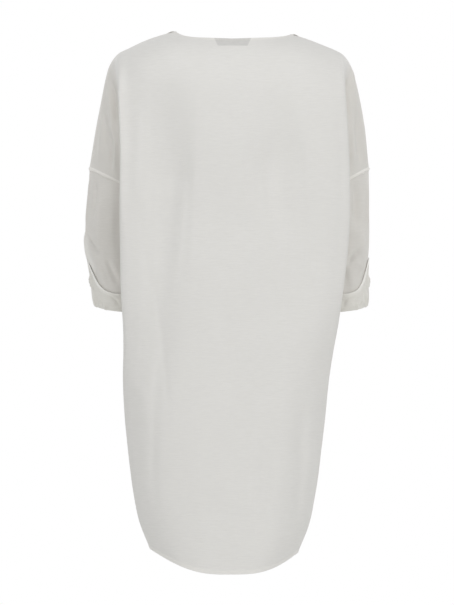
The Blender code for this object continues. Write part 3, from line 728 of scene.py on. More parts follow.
# %% Slopes of the back
WEDGE_COLUMNS = ("z", "x", "wide", "deep")
BACK_WEDGES = (
    (
        (-45, 76, 54, 0.0),
        (-110, 70, 64, 9.0),
        (-180, 70, 64, 14.5),
        (-253, 70, 62, 15.0),
        (-300, 85, 50, 12.0),
        (-388, 100, 38, 8.0),
        (-490, 114, 32, 4.5),
        (-593, 138, 22, 2.0),
        (-650, 144, 18, 0.0),
    ),
    (
        (-50, -118, 40, 0.0),
        (-110, -120, 44, 4.0),
        (-180, -121, 46, 11.0),
        (-253, -122, 46, 17.0),
        (-326, -129, 46, 14.0),
        (-485, -142, 44, 7.5),
        (-600, -150, 34, 0.0),
    ),
    (
        (-560, -90, 34, 0.0),
        (-650, -84, 38, 5.5),
        (-760, -80, 38, 6.5),
        (-860, -78, 34, 5.0),
        (-935, -76, 28, 0.0),
    ),
    (
        (-45, 158, 34, 0.0),
        (-100, 156, 36, 4.5),
        (-170, 158, 34, 3.5),
        (-230, 162, 30, 0.0),
    ),
)
# The profile: places in widths beside the ridge, and how far it has fallen there.
WEDGE_AT = np.array([-0.06, 0.08, 0.9, 1.15, 1.6, 2.3])
WEDGE_HEIGHT = np.array([0.0, 0.08, 0.95, 1.0, 0.62, 0.0])


def wedge_height(x, z, wedges):
    """Sum of slopes that begin at a ridge, fall evenly away to its left, and come back softly."""
    height = np.zeros(x.shape)
    for rows in wedges:
        ridge, wide, deep = (look_up(rows, WEDGE_COLUMNS, what, z) for what in WEDGE_COLUMNS[1:])
        height -= deep * smooth((x - ridge) / wide, WEDGE_AT, WEDGE_HEIGHT)
    return height

# %% [markdown]
# ## Creases of the arms
# Above the elbow the cloth of an arm bunches, so its creases are short, steep and close together.
# On a sleeve a place is told by the way round and the height, as a tailor would mark it.

# %% Creases of the upper arm and the sleeves
ARM_CREASES = {  # x away from the middle and z, on the part of a panel past its fold
    ("back", 1): (
        (224, -84, 212, -206, 2, 4, 5.0),
        (214, -84, 205, -168, -1, 3, -5.5),
        (229, -140, 225, -214, 1, 3, -3.5),
        (233, -140, 238, -240, 1, 5, 3.5),
        (220, -170, 215, -246, 1, 4, -4.5),
        (208, -186, 211, -252, 0, 3, 3.5),
    ),
    ("back", -1): (
        (202, -70, 206, -168, 1, 3, -5.5),
        (210, -56, 218, -146, 1, 4, 4.5),
        (219, -140, 227, -240, 1, 4, -5.5),
        (211, -165, 212, -240, 1, 4, 4.0),
        (229, -150, 236, -245, 0, 4, 3.0),
    ),
    ("front", 1): (
        (200, -70, 214, -230, -4, 9, -1.6),
        (170, -120, 176, -280, 4, 8, -1.4),
        (228, -130, 230, -240, 2, 6, 1.0),
    ),
    ("front", -1): (
        (190, -70, 204, -230, 4, 9, -1.6),
        (166, -130, 170, -280, -4, 8, -1.3),
        (216, -130, 220, -240, -2, 6, 1.0),
    ),
}
SLEEVE_CREASES = {  # u is millimetres round the sleeve from its outside to the back, v is z
    "sleeve_left": (
        (20, -250, 17, -350, 2, 7, 2.6),
        (44, -262, 44, -330, -2, 6, -3.5),
        (60, -282, 64, -400, 3, 9, 2.6),
        (90, -262, 94, -400, -3, 6, -0.8),
        (22, -356, 62, -394, 3, 4, -5.0),
        (15, -350, 20, -414, 1, 5, 4.2),
        (40, -396, 62, -450, -4, 5, 3.2),
        (72, -398, 86, -452, 2, 6, -3.4),
        (112, -310, 104, -460, -3, 8, 1.8),
        (-46, -280, -40, -460, 5, 9, -2.6),
        (-84, -300, -96, -470, -4, 8, 2.4),
        (-120, -290, -124, -450, 4, 9, -2.4),
        (-16, -420, -50, -470, 3, 5, 2.0),
    ),
    "sleeve_right": (
        (66, -262, 62, -350, 1, 12, -8.5),
        (30, -256, 32, -356, 1, 7, 4.0),
        (56, -346, 48, -392, 1, 11, 3.5),
        (78, -412, 44, -386, 3, 5, -6.5),
        (62, -411, 38, -421, 1, 4, 4.0),
        (84, -416, 74, -464, 2, 9, -4.0),
        (52, -440, 34, -404, 2, 4, 3.0),
        (-50, -280, -44, -450, 4, 9, -2.6),
        (-90, -310, -98, -460, -4, 8, 2.2),
        (-128, -300, -120, -470, 3, 9, -2.4),
    ),
}
# Painted highlights along fold edges of the sleeves, given as crease rows.
FOLDED_EDGE_HIGHLIGHT = {"sleeve_left": ((18, -352, 34, -432, 1, 9, 1.0),),
               "sleeve_right": ((8, -380, 14, -425, 1, 4, 0.7),)}
CUFF_CREASES = (
    (10, -432, 32, -456, 2, 4, -4.5),
    (14, -414, 42, -448, 3, 4, 2.0),
    (44, -492, 50, -478, 1, 3, 2.2),
    (52, -494, 60, -482, 1, 3, -2.4),
    (28, -492, 40, -462, 1, 4, 2.2),
    (22, -490, 30, -468, 1, 3, -2.6),
    (84, -490, 88, -470, 1, 4, 1.8),
    (60, -486, 72, -470, 1, 4, 0.9),
    (24, -482, 30, -462, -1, 4, -0.8),
    (96, -490, 92, -474, 1, 4, 0.7),
    (-30, -486, -22, -462, 2, 5, 0.9),
    (-70, -488, -80, -472, 1, 5, -0.9),
    (-110, -490, -102, -474, 2, 4, 0.8),
    (140, -490, 134, -474, 2, 4, 0.8),
)

# %% Adding them to the nets
def round_the_sleeve(net):
    """Millimetres round each ring, from its outside: towards the back is positive."""
    steps = np.linalg.norm(np.roll(net, -1, axis=1) - net, axis=2)
    total = steps.sum(axis=1, keepdims=True)
    run = np.concatenate([np.zeros((len(net), 1)), np.cumsum(steps, axis=1)[:, :-1]], axis=1)
    return np.where(run > total / 2, run - total, run)


BELOW_ARM = 160.0  # millimetres under the underarm where creases reach the side seam
ARM_END = (-250, -285)  # heights between which the creases of the upper arm fade
BEFORE_FOLD = (RIDGE_COLUMN - 0.8, RIDGE_COLUMN + 0.2)
PAST_FOLD = (RIDGE_COLUMN + 0.6, RIDGE_COLUMN + 2)
# Creases begin over these rows under a top edge, and over these columns beside a side edge.
EDGE_ROWS, EDGE_COLUMNS, SLEEVE_ROWS, CUFF_ROWS = (0, 0.4), (0, 0.5), (0, 0.8), (1.0, 3.0)

fold_off = np.abs(COLUMNS - LAST_COLUMN)[None, :]
for name, creases in (("back", BACK_CREASES), ("front", FRONT_CREASES)):
    net = fine[name]
    x, z = net[..., 0], net[..., 2]
    below = ease(UNDERARM_Z, UNDERARM_Z - BELOW_ARM, z)
    height = crease_height(x, z, creases)
    if name == "back":
        height = height + wedge_height(x, z, BACK_WEDGES)
    height = height * (1 - ease(*BEFORE_FOLD, fold_off) * (1 - below))
    for side in (1, -1):
        mask = ease(*PAST_FOLD, fold_off) * (side * x > 0) * (1 - ease(*ARM_END, z))
        height = height + mask * crease_height(side * x, z, ARM_CREASES[name, side])
    edges = ease(*EDGE_ROWS, ROWS)[:, None] * ease(*EDGE_COLUMNS, 2 * LAST_COLUMN - COLUMNS)
    edges = edges * ease(*EDGE_COLUMNS, COLUMNS)
    fine[name] = net + outward(name, net) * (height * edges)[..., None]
for name in SLEEVES + CUFFS:
    net = fine[name]
    height = crease_height(round_the_sleeve(net), net[..., 2], SLEEVE_CREASES.get(name, CUFF_CREASES))
    height *= (ease(*SLEEVE_ROWS, SLEEVE_AT) if name in SLEEVES else ease(*CUFF_ROWS, CUFF_AT))[:, None]
    fine[name] = net + outward(name, net) * height[..., None]
tables = [BACK_CREASES, FRONT_CREASES, *ARM_CREASES.values(), *SLEEVE_CREASES.values(), CUFF_CREASES]
print("creases in the tables:", sum(len(rows) for rows in tables))

# %% [markdown]
# ## Hems and seams
# Every cut edge is turned in and stitched, so it is twice as thick for a few millimetres, and the
# stitches pull it in a little at the inner side of that band. At a seam the turnings lie to one
# side and lift that side. Only one face moves, and the other stays smooth.

# %% How much thicker the cloth is near an edge
CLOTH = 0.7
BANDS = {  # for each edge: width, lift, dip at its stitches, and share of the lighter tone, for doubled cloth and a painted highlight
    "neck": (6.0, 0.4, 0.22, 0.3),
    "hem": (7.0, 0.4, 0.22, 0.3),
    "armhole": (4.5, 2.4, 0.3, 1.0),
    "shoulder": (4.5, 0.7, 0.22, 0.4),
    "side": (4.5, 0.4, 0.22, 0.3),
    "cuff": (5.0, 0.4, 0.22, 0.5),
}
BAND_INSIDE, BAND_OUTSIDE = 0.8, 0.6  # how softly a band ends
STITCH_INSET, DIP_WIDTH = 1.6, 0.9
ARMHOLE_WANDER, RIPPLE_SLANT = 0.8, 0.6
RIPPLES = ((0.35, 5.3, 0.0), (0.25, 2.9, 1.0))  # height, length over 2 pi, and start
CUFF_EDGE_HIGHLIGHT, CUFF_OUTER_HIGHLIGHT = (1.2, 2.6), (5.0, 7.5)  # below a cuff's edge, where its painted highlights end


def within(off, width):
    """1 within a band along an edge, and 0 past it."""
    return 1 - ease(width - BAND_INSIDE, width + BAND_OUTSIDE, off)


def band(off, width, lift, dip):
    """Lift of one face within a band along an edge, with a dip where it is stitched."""
    stitched = dip * np.exp(-(((off - width + STITCH_INSET) / DIP_WIDTH) ** 2))
    return lift * within(off, width) - stitched

# %% Edges that are sewn
def edge_points(net, what):
    """Edges of a panel: neck, hem with both slits, shoulders, armholes or side seams."""
    at_neck = np.abs(COLUMNS - LAST_COLUMN) <= NECK_COLUMNS + 1e-6
    low = ROWS >= SLIT_ROW - 1e-6
    arm = ROWS <= UNDERARM_ROW + 1e-6
    if what == "neck":
        return [net[0, at_neck]]
    if what == "hem":
        return [np.concatenate([net[low, 0], net[-1], net[low, -1][::-1]])]
    if what == "shoulder":
        parts = (COLUMNS <= LAST_COLUMN - NECK_COLUMNS, COLUMNS >= LAST_COLUMN + NECK_COLUMNS)
        return [net[0, part] for part in parts]
    if what == "armhole":
        return [net[arm, 0], net[arm, -1]]
    side = (ROWS >= UNDERARM_ROW) & (ROWS <= SLIT_ROW)
    return [net[side, 0], net[side, -1]]

# %% Lifts, lighter layers of cloth and painted highlights of each piece
lifts, plies_and_highlight, edge_off = {}, {}, {}
for name in PANELS:
    net = fine[name]
    uneven = 1.0
    for high, long, start in RIPPLES:
        uneven = uneven + high * np.sin((net[..., 1] + RIPPLE_SLANT * net[..., 0]) / long + start)
    lifts[name] = plies_and_highlight[name] = np.zeros(net.shape[:2])
    for what in ("neck", "hem", "armhole", "shoulder", "side"):
        width, lift, dip, light = BANDS[what]
        off = edge_off[name, what] = distance(net, edge_points(net, what))
        plies_and_highlight[name] = np.maximum(plies_and_highlight[name], within(off, width) * light)
        if what == "armhole":
            lifted = band(off + ARMHOLE_WANDER * uneven, width, lift, dip) * uneven
            lifts[name] = lifts[name] + lifted
        elif name == "back" or what in ("neck", "hem"):
            lifts[name] = lifts[name] + band(off, width, lift, dip)
for name in SLEEVES:
    lifts[name] = np.zeros(fine[name].shape[:2])
    around = round_the_sleeve(fine[name])
    # Painted highlight: a lighter band along a fold edge of each sleeve.
    plies_and_highlight[name] = crease_height(around, fine[name][..., 2], FOLDED_EDGE_HIGHLIGHT[name])
for name in CUFFS:
    width, lift, dip, light = BANDS["cuff"]
    off = edge_off[name, "cuff"] = distance(fine[name], [fine[name][-1]])
    lifts[name] = band(off, width, lift, dip)
    # Painted highlights on each cuff: a lighter line just below its top edge, and a lighter band on the
    # outside of the arm.
    pale = outside(RING_AT * 2 * np.pi / RING, SLEEVE_END_CURVE) * (1 - ease(*CUFF_OUTER_HIGHLIGHT, off))
    plies_and_highlight[name] = light * (1 - ease(*CUFF_EDGE_HIGHLIGHT, off)) + pale
print("thickest hem, mm:", round(CLOTH + float(lifts["back"].max()), 2))

# %% [markdown]
# ## Closed shells
# Each piece becomes a closed mesh: the outer face, the inner face and a rim between them. Blender's
# Solidify would do it too, but here the thickness changes from place to place. It is added on
# the side that a net's normals point to: the outer face of the back and of the right cuff, and the
# inner face of the front and of the left cuff. All normals are taken as if the net were a ring, so
# the first and last columns of a panel lean a little.

# %% Making a shell from a net
def add_mesh(name, points, faces):
    """A smooth mesh object from points in millimetres."""
    mesh = bpy.data.meshes.new(name)
    mesh.from_pydata((points * MM).tolist(), [], faces)
    mesh.shade_smooth()
    made = bpy.data.objects.new(name, mesh)
    bpy.context.scene.collection.objects.link(made)
    return made


def shell(name, net, normal, cloth, lift, ply_and_highlight, arm, ring=False):
    """Closed mesh of one piece of cloth, keeping as attributes its lighter layers of cloth with painted
    highlights, and the painted shade of its arm part.
    """
    rows, columns = net.shape[:2]
    thick = net + normal * (cloth / 2 + lift)[..., None]
    even = net - normal * cloth / 2
    points = np.concatenate([thick.reshape(-1, 3), even.reshape(-1, 3)])
    half = rows * columns
    last = columns if ring else columns - 1
    r, c = np.meshgrid(np.arange(rows - 1), np.arange(last), indexing="ij")
    a = (r * columns + c).ravel()
    b = (r * columns + (c + 1) % columns).ravel()
    quads = [np.stack([a, b, b + columns, a + columns], axis=1)]
    quads.append(np.stack([a, a + columns, b + columns, b], axis=1) + half)
    across = np.append(np.arange(columns), [0] if ring else []).astype(int)
    rims = [across[::-1], (rows - 1) * columns + across]
    if not ring:
        down = np.arange(rows) * columns
        rims += [down, down[::-1] + columns - 1]
    for rim in rims:
        p, q = rim[:-1], rim[1:]
        quads.append(np.stack([p, q, q + half, p + half], axis=1))
    faces = np.concatenate(quads)
    corners = points[faces[:, :3]]
    if np.einsum("ij,ij->i", corners[:, 0], np.cross(corners[:, 1], corners[:, 2])).sum() < 0:
        faces = faces[:, ::-1]
    made = add_mesh(name, points, faces.tolist())
    for what, value in (("plies_and_highlight", ply_and_highlight), ("arm_painted_shade", arm)):
        kept = made.data.attributes.new(what, "FLOAT", "POINT")
        kept.data.foreach_set("value", np.concatenate([value.ravel(), value.ravel()]))
    return made

# %% The cloth pieces
# Painted shade: past its fold, over the arm, each panel gets a darker, warmer tone.
ARM_SHADE_FROM = (RIDGE_COLUMN + 0.2, RIDGE_COLUMN + 1.6)
arm_painted_shade = {name: np.zeros(net.shape[:2]) for name, net in fine.items()}
for name in PANELS:
    past = ease(*ARM_SHADE_FROM, fold_off)
    arm_painted_shade[name] = past * (1 - ease(UNDERARM_ROW - 1, UNDERARM_ROW + 1, ROWS))[:, None]
    arm_painted_shade[name] = arm_painted_shade[name] * (1 - plies_and_highlight[name])
shirt = {}
for name, net in fine.items():
    shirt[name] = shell(
        name + "_cloth", net, normals_of(net, True), CLOTH, lifts[name], plies_and_highlight[name], arm_painted_shade[name],
        ring=name not in PANELS,
    )
print("cloth triangles:", sum(2 * len(o.data.polygons) for o in shirt.values()))

# %% [markdown]
# ## The label
# A short woven tape is sewn inside the back neck. It is bare here. It follows the inside of the
# back, so its points are taken from the back's own net and moved in by half of each thickness
# and a little more, so that the two don't touch.

# %% A bare woven label on the inside of the back
LABEL_HALF_TOP, LABEL_HALF_END = (31.0, 33.5), (26.0, 28.5)
LABEL_TOP, LABEL_END, LABEL_CLOTH, LABEL_GAP, LABEL_FOLD = 2.5, 15.0, 0.5, 0.2, 0.35
LABEL_WAVE, LABEL_WAVE_LENGTH = 0.4, 7  # height, and length over 2 pi
LABEL_ROWS, LABEL_COLUMNS, BACK_ROWS = 15, 41, 24


def at_length(run, line, place):
    """The point of a polyline at this length along it."""
    return np.array([np.interp(place, run, line[:, k]) for k in range(3)])


def on_back(x, down):
    """A point of the back this far sideways, and this far down from the neck edge."""
    count = np.arange(fine["back"].shape[1])
    rows = fine["back"][:BACK_ROWS]
    line = np.array([at_length(count, row, np.interp(x, row[:, 0], count)) for row in rows])
    return at_length(lengths(line), line, down)


def label_net():
    rows = []
    for t in np.linspace(0, 1, LABEL_ROWS):
        right = -(LABEL_HALF_TOP[0] + (LABEL_HALF_END[0] - LABEL_HALF_TOP[0]) * t)
        left = LABEL_HALF_TOP[1] + (LABEL_HALF_END[1] - LABEL_HALF_TOP[1]) * t
        down = LABEL_TOP + (LABEL_END - LABEL_TOP) * t
        places = np.linspace(right, left, LABEL_COLUMNS)
        rows.append([on_back(x, down + LABEL_WAVE * np.sin(x / LABEL_WAVE_LENGTH)) for x in places])
    return np.array(rows)


def to_back(net):
    """Normals that point to the back."""
    normal = normals_of(net)
    return normal * np.sign(normal[..., 1].mean())


net = label_net()
fold = LABEL_FOLD * np.exp(-((np.linspace(0, 1, LABEL_ROWS)[:, None] - 0.5) / 0.5) ** 2)
net = net - to_back(net) * (CLOTH / 2 + LABEL_CLOTH / 2 + LABEL_GAP + fold)[..., None]
none = np.zeros(net.shape[:2])
shirt["neck_label"] = shell("woven_label", net, to_back(net), LABEL_CLOTH, none, none + 1, none)
print("label points:", net.shape[:2])

# %% [markdown]
# ## Stitches
# Thread shows as a row of short raised grains a few millimetres from every edge. One stitch is a
# small ten-point spindle, and the rows are joined into one mesh per piece, as thousands of
# objects would be slow.

# %% Laying stitches along a line
STITCH, STITCH_GAP, STITCH_START, THREAD = 2.1, 0.9, 1.0, 0.24
THREAD_SINK, THREAD_RAISE = 0.05, 0.06
SECTION = ((THREAD, 0), (0, THREAD * 1.2), (-THREAD, 0), (0, -THREAD))  # across and up


def stitches(name, lines):
    """One mesh of small spindles along lines, each a list of points and a list of normals."""
    points, faces = [], []
    for line, normal in lines:
        run = lengths(line)
        for start in np.arange(STITCH_START, run[-1] - STITCH, STITCH + STITCH_GAP):
            ends = [at_length(run, line, start + share * STITCH) for share in (0, 0.25, 0.75, 1)]
            up = at_length(run, normal, start + STITCH / 2)
            up /= np.linalg.norm(up)
            ahead = ends[3] - ends[0]
            ahead /= np.linalg.norm(ahead)
            aside = np.cross(ahead, up)
            base = len(points)
            points.append(ends[0] - up * THREAD_SINK)
            for end in ends[1:3]:
                for across, high in SECTION:
                    points.append(end + aside * across + up * (high + THREAD_RAISE))
            points.append(ends[3] - up * THREAD_SINK)
            for j in range(4):
                n = (j + 1) % 4
                faces.append((base, base + 1 + n, base + 1 + j))
                faces.append((base + 1 + j, base + 1 + n, base + 5 + n, base + 5 + j))
                faces.append((base + 9, base + 5 + j, base + 5 + n))
    return add_mesh(name, np.array(points), faces)

# %% Where the stitches lie
END_STOP, HEM_STOP, SLIT_STOP = 0.1, 1.5, 0.3  # rows or columns left bare at the ends
DOWN, UP = slice(None), slice(None, None, -1)


def level_line(name, what, keep):
    """Points on the outer side where the band of an edge is stitched, and their normals."""
    normal = outward(name, fine[name])
    face = fine[name] + normal * (CLOTH / 2 + lifts[name])[..., None]
    width = BANDS[what][0] - STITCH_INSET
    found = []
    for place in keep:
        line, ups, offs = face[place], normal[place], edge_off[name, what][place]
        cross = np.nonzero((offs[:-1] - width) * (offs[1:] - width) <= 0)[0]
        if len(cross):
            k = cross[0]
            gap = offs[k + 1] - offs[k]
            t = (width - offs[k]) / gap if gap else 0
            found.append((line[k] + (line[k + 1] - line[k]) * t, ups[k]))
    return np.array([p for p, _ in found]), np.array([n for _, n in found])


sewn = {}
at_neck = np.nonzero(np.abs(COLUMNS - LAST_COLUMN) < NECK_COLUMNS - END_STOP)[0]
at_hem = np.nonzero((COLUMNS > HEM_STOP) & (COLUMNS < 2 * LAST_COLUMN - HEM_STOP))[0]
at_slit = np.nonzero((ROWS > SLIT_ROW + END_STOP) & (ROWS < LAST_ROW - SLIT_STOP))[0]
at_arm = np.nonzero((ROWS > END_STOP) & (ROWS < UNDERARM_ROW - END_STOP))[0]
for name in PANELS:
    lines = [
        level_line(name, "neck", [(DOWN, c) for c in at_neck]),
        level_line(name, "hem", [(UP, c) for c in at_hem]),
    ]
    for way in (DOWN, UP):
        lines.append(level_line(name, "hem", [(r, way) for r in at_slit]))
        lines.append(level_line(name, "armhole", [(r, way) for r in at_arm]))
    sewn[name] = stitches(name + "_stitches", [line for line in lines if len(line[0]) > 2])
for name in CUFFS:
    line = level_line(name, "cuff", [(UP, c) for c in range(len(RING_AT))])
    line = tuple(np.concatenate([part, part[:1]]) for part in line)
    sewn[name] = stitches(name + "_stitches", [line])
print("stitch triangles:", sum(len(o.data.polygons) * 4 // 3 for o in sewn.values()))

# %% [markdown]
# ## Cloth material
# The cloth is a light crepe: a plain weave of uneven yarns, so fine lines run across it where a
# thicker yarn lies. The nodes are built in layers: the tone of the yarns, cloudy differences over
# a hand's width, painted shade over the arms, a lighter tone where several layers of cloth lie on
# each other together with painted highlights on fold edges and cuff edges, and on the back the
# label's painted shadow where it shows through. The same layers drive a small bump, so that the
# lines also catch the light.

# %% A node helper, so that each layer is one line
def add_node(tree, kind, values=None, **settings):
    node = tree.nodes.new(kind)
    for key, value in settings.items():
        setattr(node, key, value)
    for key, value in (values or {}).items():
        if isinstance(value, bpy.types.NodeSocket):
            tree.links.new(value, node.inputs[key])
        else:
            node.inputs[key].default_value = value
    return node


def noise(tree, place, scale, stretch, detail=2.0, rough=0.5):
    """Noise in the shirt's own space, stretched by different scales along X, Y and Z."""
    mapped = add_node(tree, "ShaderNodeMapping", {"Vector": place, "Scale": stretch})
    made = add_node(
        tree, "ShaderNodeTexNoise",
        {"Vector": mapped.outputs[0], "Scale": scale, "Detail": detail, "Roughness": rough},
    )
    return made.outputs["Fac"]


def math(tree, kind, a, b):
    return add_node(tree, "ShaderNodeMath", {0: a, 1: b}, operation=kind).outputs[0]


def spread(tree, value, low, high, to_low, to_high):
    return add_node(
        tree, "ShaderNodeMapRange",
        {"Value": value, "From Min": low, "From Max": high, "To Min": to_low, "To Max": to_high},
    ).outputs[0]


def weighted(tree, *parts):
    """Sum of values, each given with its weight."""
    total = None
    for value, weight in parts:
        part = math(tree, "MULTIPLY", value, weight)
        total = part if total is None else math(tree, "ADD", total, part)
    return total


def mix(tree, share, a, b):
    node = add_node(tree, "ShaderNodeMix", data_type="RGBA")
    for index, value in ((0, share), (6, a), (7, b)):
        if isinstance(value, bpy.types.NodeSocket):
            tree.links.new(value, node.inputs[index])
        else:
            node.inputs[index].default_value = value
    return node.outputs[2]

# %% Beginning and ending a material
def begin(name):
    """A new material: itself, its nodes, its shader, and the place on the piece."""
    material = bpy.data.materials.new(name)
    material.use_nodes = True
    tree = material.node_tree
    place = add_node(tree, "ShaderNodeTexCoord").outputs["Object"]
    return material, tree, tree.nodes["Principled BSDF"], place


def connect(tree, shader, colour, rough, height, strength, distance):
    bump = add_node(
        tree, "ShaderNodeBump", {"Height": height, "Strength": strength, "Distance": distance}
    )
    for what, value in (("Base Color", colour), ("Roughness", rough), ("Normal", bump.outputs[0])):
        tree.links.new(value, shader.inputs[what])

# %% Yarns, tones, and the label's painted shadow where it shows through
LAYERS = (  # scale, stretch along X, Y and Z, detail, roughness
    (1.0, (55, 55, 620), 3.0, 0.6),  # slubs
    (1.0, (110, 110, 1500), 2.0, 0.6),  # fine slubs
    (900.0, (1, 1, 1), 2.0, 0.6),  # pebbles
    (1.0, (1300, 1300, 60), 2.0, 0.5),  # warp
    (9.0, (1, 1, 1), 3.0, 0.5),  # clouds of tone
)
# Shares of the random clouds, the painted shade over the arms, the lighter layers with painted
# highlights, and the label's painted shadow.
CLOUD_SHARE, ARM_SHADE_SHARE, PLY_AND_HIGHLIGHT_SHARE, LABEL_SHADE_SHARE = 0.35, 0.7, 0.75, 0.5
CREPE_BUMP, CREPE_DEPTH = 0.35, 0.0006
SHEEN = {"Sheen Weight": 0.15, "Sheen Roughness": 0.5, "Specular IOR Level": 0.25}
# Tone of the painted shade over the arms.
ARM_SHADE_TONE = (0.675, 0.65, 0.605, 1)
LABEL_MIDDLE, LABEL_SLANT, LABEL_HALF = 0.0012, 0.42, 0.0379
LABEL_SOFT, LABEL_LOW, LABEL_HIGH = 0.001, -0.0285, -0.0262
# Tone of the label's painted shadow.
LABEL_SHADE = (0.45, 0.44, 0.425, 1)


def label_shadow_behind(tree, place):
    """Share of the label's painted shadow, its darker shape seen through the cloth, here: 0 beside it.
    """
    apart = add_node(tree, "ShaderNodeSeparateXYZ", {"Vector": place}).outputs
    across = math(tree, "ABSOLUTE", math(tree, "SUBTRACT", apart["X"], LABEL_MIDDLE), 0.0)
    half = math(tree, "ADD", math(tree, "MULTIPLY", apart["Z"], LABEL_SLANT), LABEL_HALF)
    beside = math(tree, "SUBTRACT", across, half)
    beside = spread(tree, beside, -LABEL_SOFT, LABEL_SOFT, 1.0, 0.0)
    above = spread(tree, apart["Z"], LABEL_LOW, LABEL_HIGH, 0.0, 1.0)
    patchy = spread(tree, noise(tree, place, 160.0, (1, 1, 1)), 0.3, 0.7, 0.75, 1.0)
    return math(tree, "MULTIPLY", math(tree, "MULTIPLY", beside, above), patchy)

# %% The crepe itself
def tinted(tree, colour, share, amount, other):
    """The colour with another mixed in, by a share from 0 to 1 times an amount."""
    return mix(tree, math(tree, "MULTIPLY", share, amount), colour, other)


def kept_value(tree, what):
    return add_node(tree, "ShaderNodeAttribute", attribute_name=what).outputs["Fac"]


def crepe(name, tone, shade, light, label=False):
    """Crepe cloth: tone is its colour, shade its darker yarns, light the lighter tone of layered cloth
    and of painted highlights; it adds painted shade over the arms, and the label's painted shadow when
    label is set.
    """
    material, tree, shader, place = begin(name)
    slub, fine_slub, pebble, warp, cloud = (noise(tree, place, *layer) for layer in LAYERS)
    yarns = weighted(tree, (slub, 0.55), (fine_slub, 0.45))
    colour = mix(tree, spread(tree, yarns, 0.30, 0.70, 0.0, 1.0), shade, tone)
    colour = mix(tree, spread(tree, cloud, 0.35, 0.70, 0.0, CLOUD_SHARE), colour, shade)
    # Painted shade on the part of a panel past its fold, over the arm.
    colour = tinted(tree, colour, kept_value(tree, "arm_painted_shade"), ARM_SHADE_SHARE, ARM_SHADE_TONE)
    # A lighter tone where layers of cloth lie together, and painted highlights on fold edges and cuff
    # edges.
    colour = tinted(tree, colour, kept_value(tree, "plies_and_highlight"), PLY_AND_HIGHLIGHT_SHARE, light)
    # Painted shadow of the label, seen through the back.
    if label:
        colour = tinted(tree, colour, label_shadow_behind(tree, place), LABEL_SHADE_SHARE, LABEL_SHADE)
    relief = weighted(tree, (yarns, 0.9), (pebble, 0.35), (warp, 0.2))
    rough = spread(tree, yarns, 0.3, 0.7, 0.92, 0.78)
    connect(tree, shader, colour, rough, relief, CREPE_BUMP, CREPE_DEPTH)
    for what, value in SHEEN.items():
        shader.inputs[what].default_value = value
    return material


TONES = {  # colour, darker yarns, and the lighter tone for layers of cloth and painted highlights; the sleeve's colours are a darker, warmer copy, as painted shade
    "body": ((0.748, 0.734, 0.705, 1), (0.692, 0.677, 0.648, 1), (0.88, 0.85, 0.80, 1)),
    "sleeve": ((0.735, 0.712, 0.672, 1), (0.68, 0.656, 0.615, 1), (0.84, 0.825, 0.785, 1)),
    "cuff": ((0.765, 0.747, 0.698, 1), (0.71, 0.69, 0.638, 1), (0.97, 0.95, 0.91, 1)),
}
LOOKS = {
    "front": crepe("front_crepe", *TONES["body"]),
    "back": crepe("back_crepe", *TONES["body"], label=True),
    # The sleeves' crepe is a darker, warmer copy of the body's: painted shade.
    "sleeve": crepe("sleeve_crepe_painted_shade", *TONES["sleeve"]),
    "cuff": crepe("cuff_crepe", *TONES["cuff"]),
}
print("crepes:", sorted(LOOKS))

# %% [markdown]
# ## Thread and label
# Sewing thread is twisted and the label is a ribbed satin tape. Both are one fine noise that sets
# the tone, the roughness and a small bump. On the label it is stretched, so that it makes ribs.

# %% Looks of the thread and the label
YARN_BUMP, YARN_DEPTH = 0.3, 0.0002


def yarn_look(name, layer, ends, dark, light, rough):
    """Fine yarn: ends are the values of the noise that are quite dark and quite light."""
    material, tree, shader, place = begin(name)
    rib = noise(tree, place, *layer)
    colour = mix(tree, spread(tree, rib, *ends, 0.0, 1.0), dark, light)
    connect(tree, shader, colour, spread(tree, rib, 0.3, 0.7, *rough), rib, YARN_BUMP, YARN_DEPTH)
    return material


THREAD_LOOK = yarn_look(
    "sewing_thread", (2600.0, (1, 1, 1), 2.0, 0.5), (0.0, 1.0),
    (0.70, 0.68, 0.64, 1), (0.84, 0.83, 0.79, 1), (0.7, 0.55),
)
LOOKS["neck"] = yarn_look(
    "label_satin", (1.0, (120, 120, 4200), 2.0, 0.5), (0.3, 0.7),
    (0.34, 0.33, 0.32, 1), (0.44, 0.43, 0.41, 1), (0.6, 0.45),
)
for name, piece in shirt.items():
    piece.data.materials.append(LOOKS[name.split("_")[0]])
for piece in sewn.values():
    piece.data.materials.append(THREAD_LOOK)
print("pieces with a look:", len(shirt) + len(sewn))

# %% [markdown]
# ## Hiding the solids
# Each cloth piece stands for its solid, which is hidden, and rides on the one body. The flat sizes
# of the cut pieces come from the nets, measured round the cloth; they are listed, but nothing uses
# them.

# %% Pieces, their body, and flat sizes
FLAT = {  # width, length and area of each cut piece, in metres
    "back": (0.77, 0.98, 0.544),
    "front": (0.59, 0.96, 0.435),
    "sleeve_left": (0.39, 0.24, 0.078),
    "sleeve_right": (0.37, 0.24, 0.0735),
    "cuff_left": (0.40, 0.10, 0.0177),
    "cuff_right": (0.39, 0.10, 0.0173),
    "neck_label": (0.065, 0.0125, 0.00074),
}
for name, piece in shirt.items():
    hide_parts(name)
    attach(piece, "root")
    own = [sewn[name]] if name in sewn else []
    width, length, area = FLAT[name]
    for extra in own:
        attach(extra, "root")

# %% [markdown]
# ## Camera
# The shirt was photographed square from behind with a long lens, so its width hardly changes with
# depth. The camera stands six metres away, and its lens follows from the height of the picture.

# %% Camera
AIM, FAR, FRAME_HEIGHT, SENSOR = (0.0112, 0.05, -0.4806), 6.0, 1.0709, 36.0
camera = bpy.data.objects.new("camera", bpy.data.cameras.new("camera"))
camera.data.sensor_width = SENSOR
camera.data.lens = SENSOR * FAR / FRAME_HEIGHT
camera.location = (AIM[0], AIM[1] + FAR, AIM[2])
camera.rotation_euler = (np.pi / 2, 0, np.pi)
bpy.context.scene.collection.objects.link(camera)
bpy.context.scene.camera = camera
print("lens, mm:", round(camera.data.lens, 1))
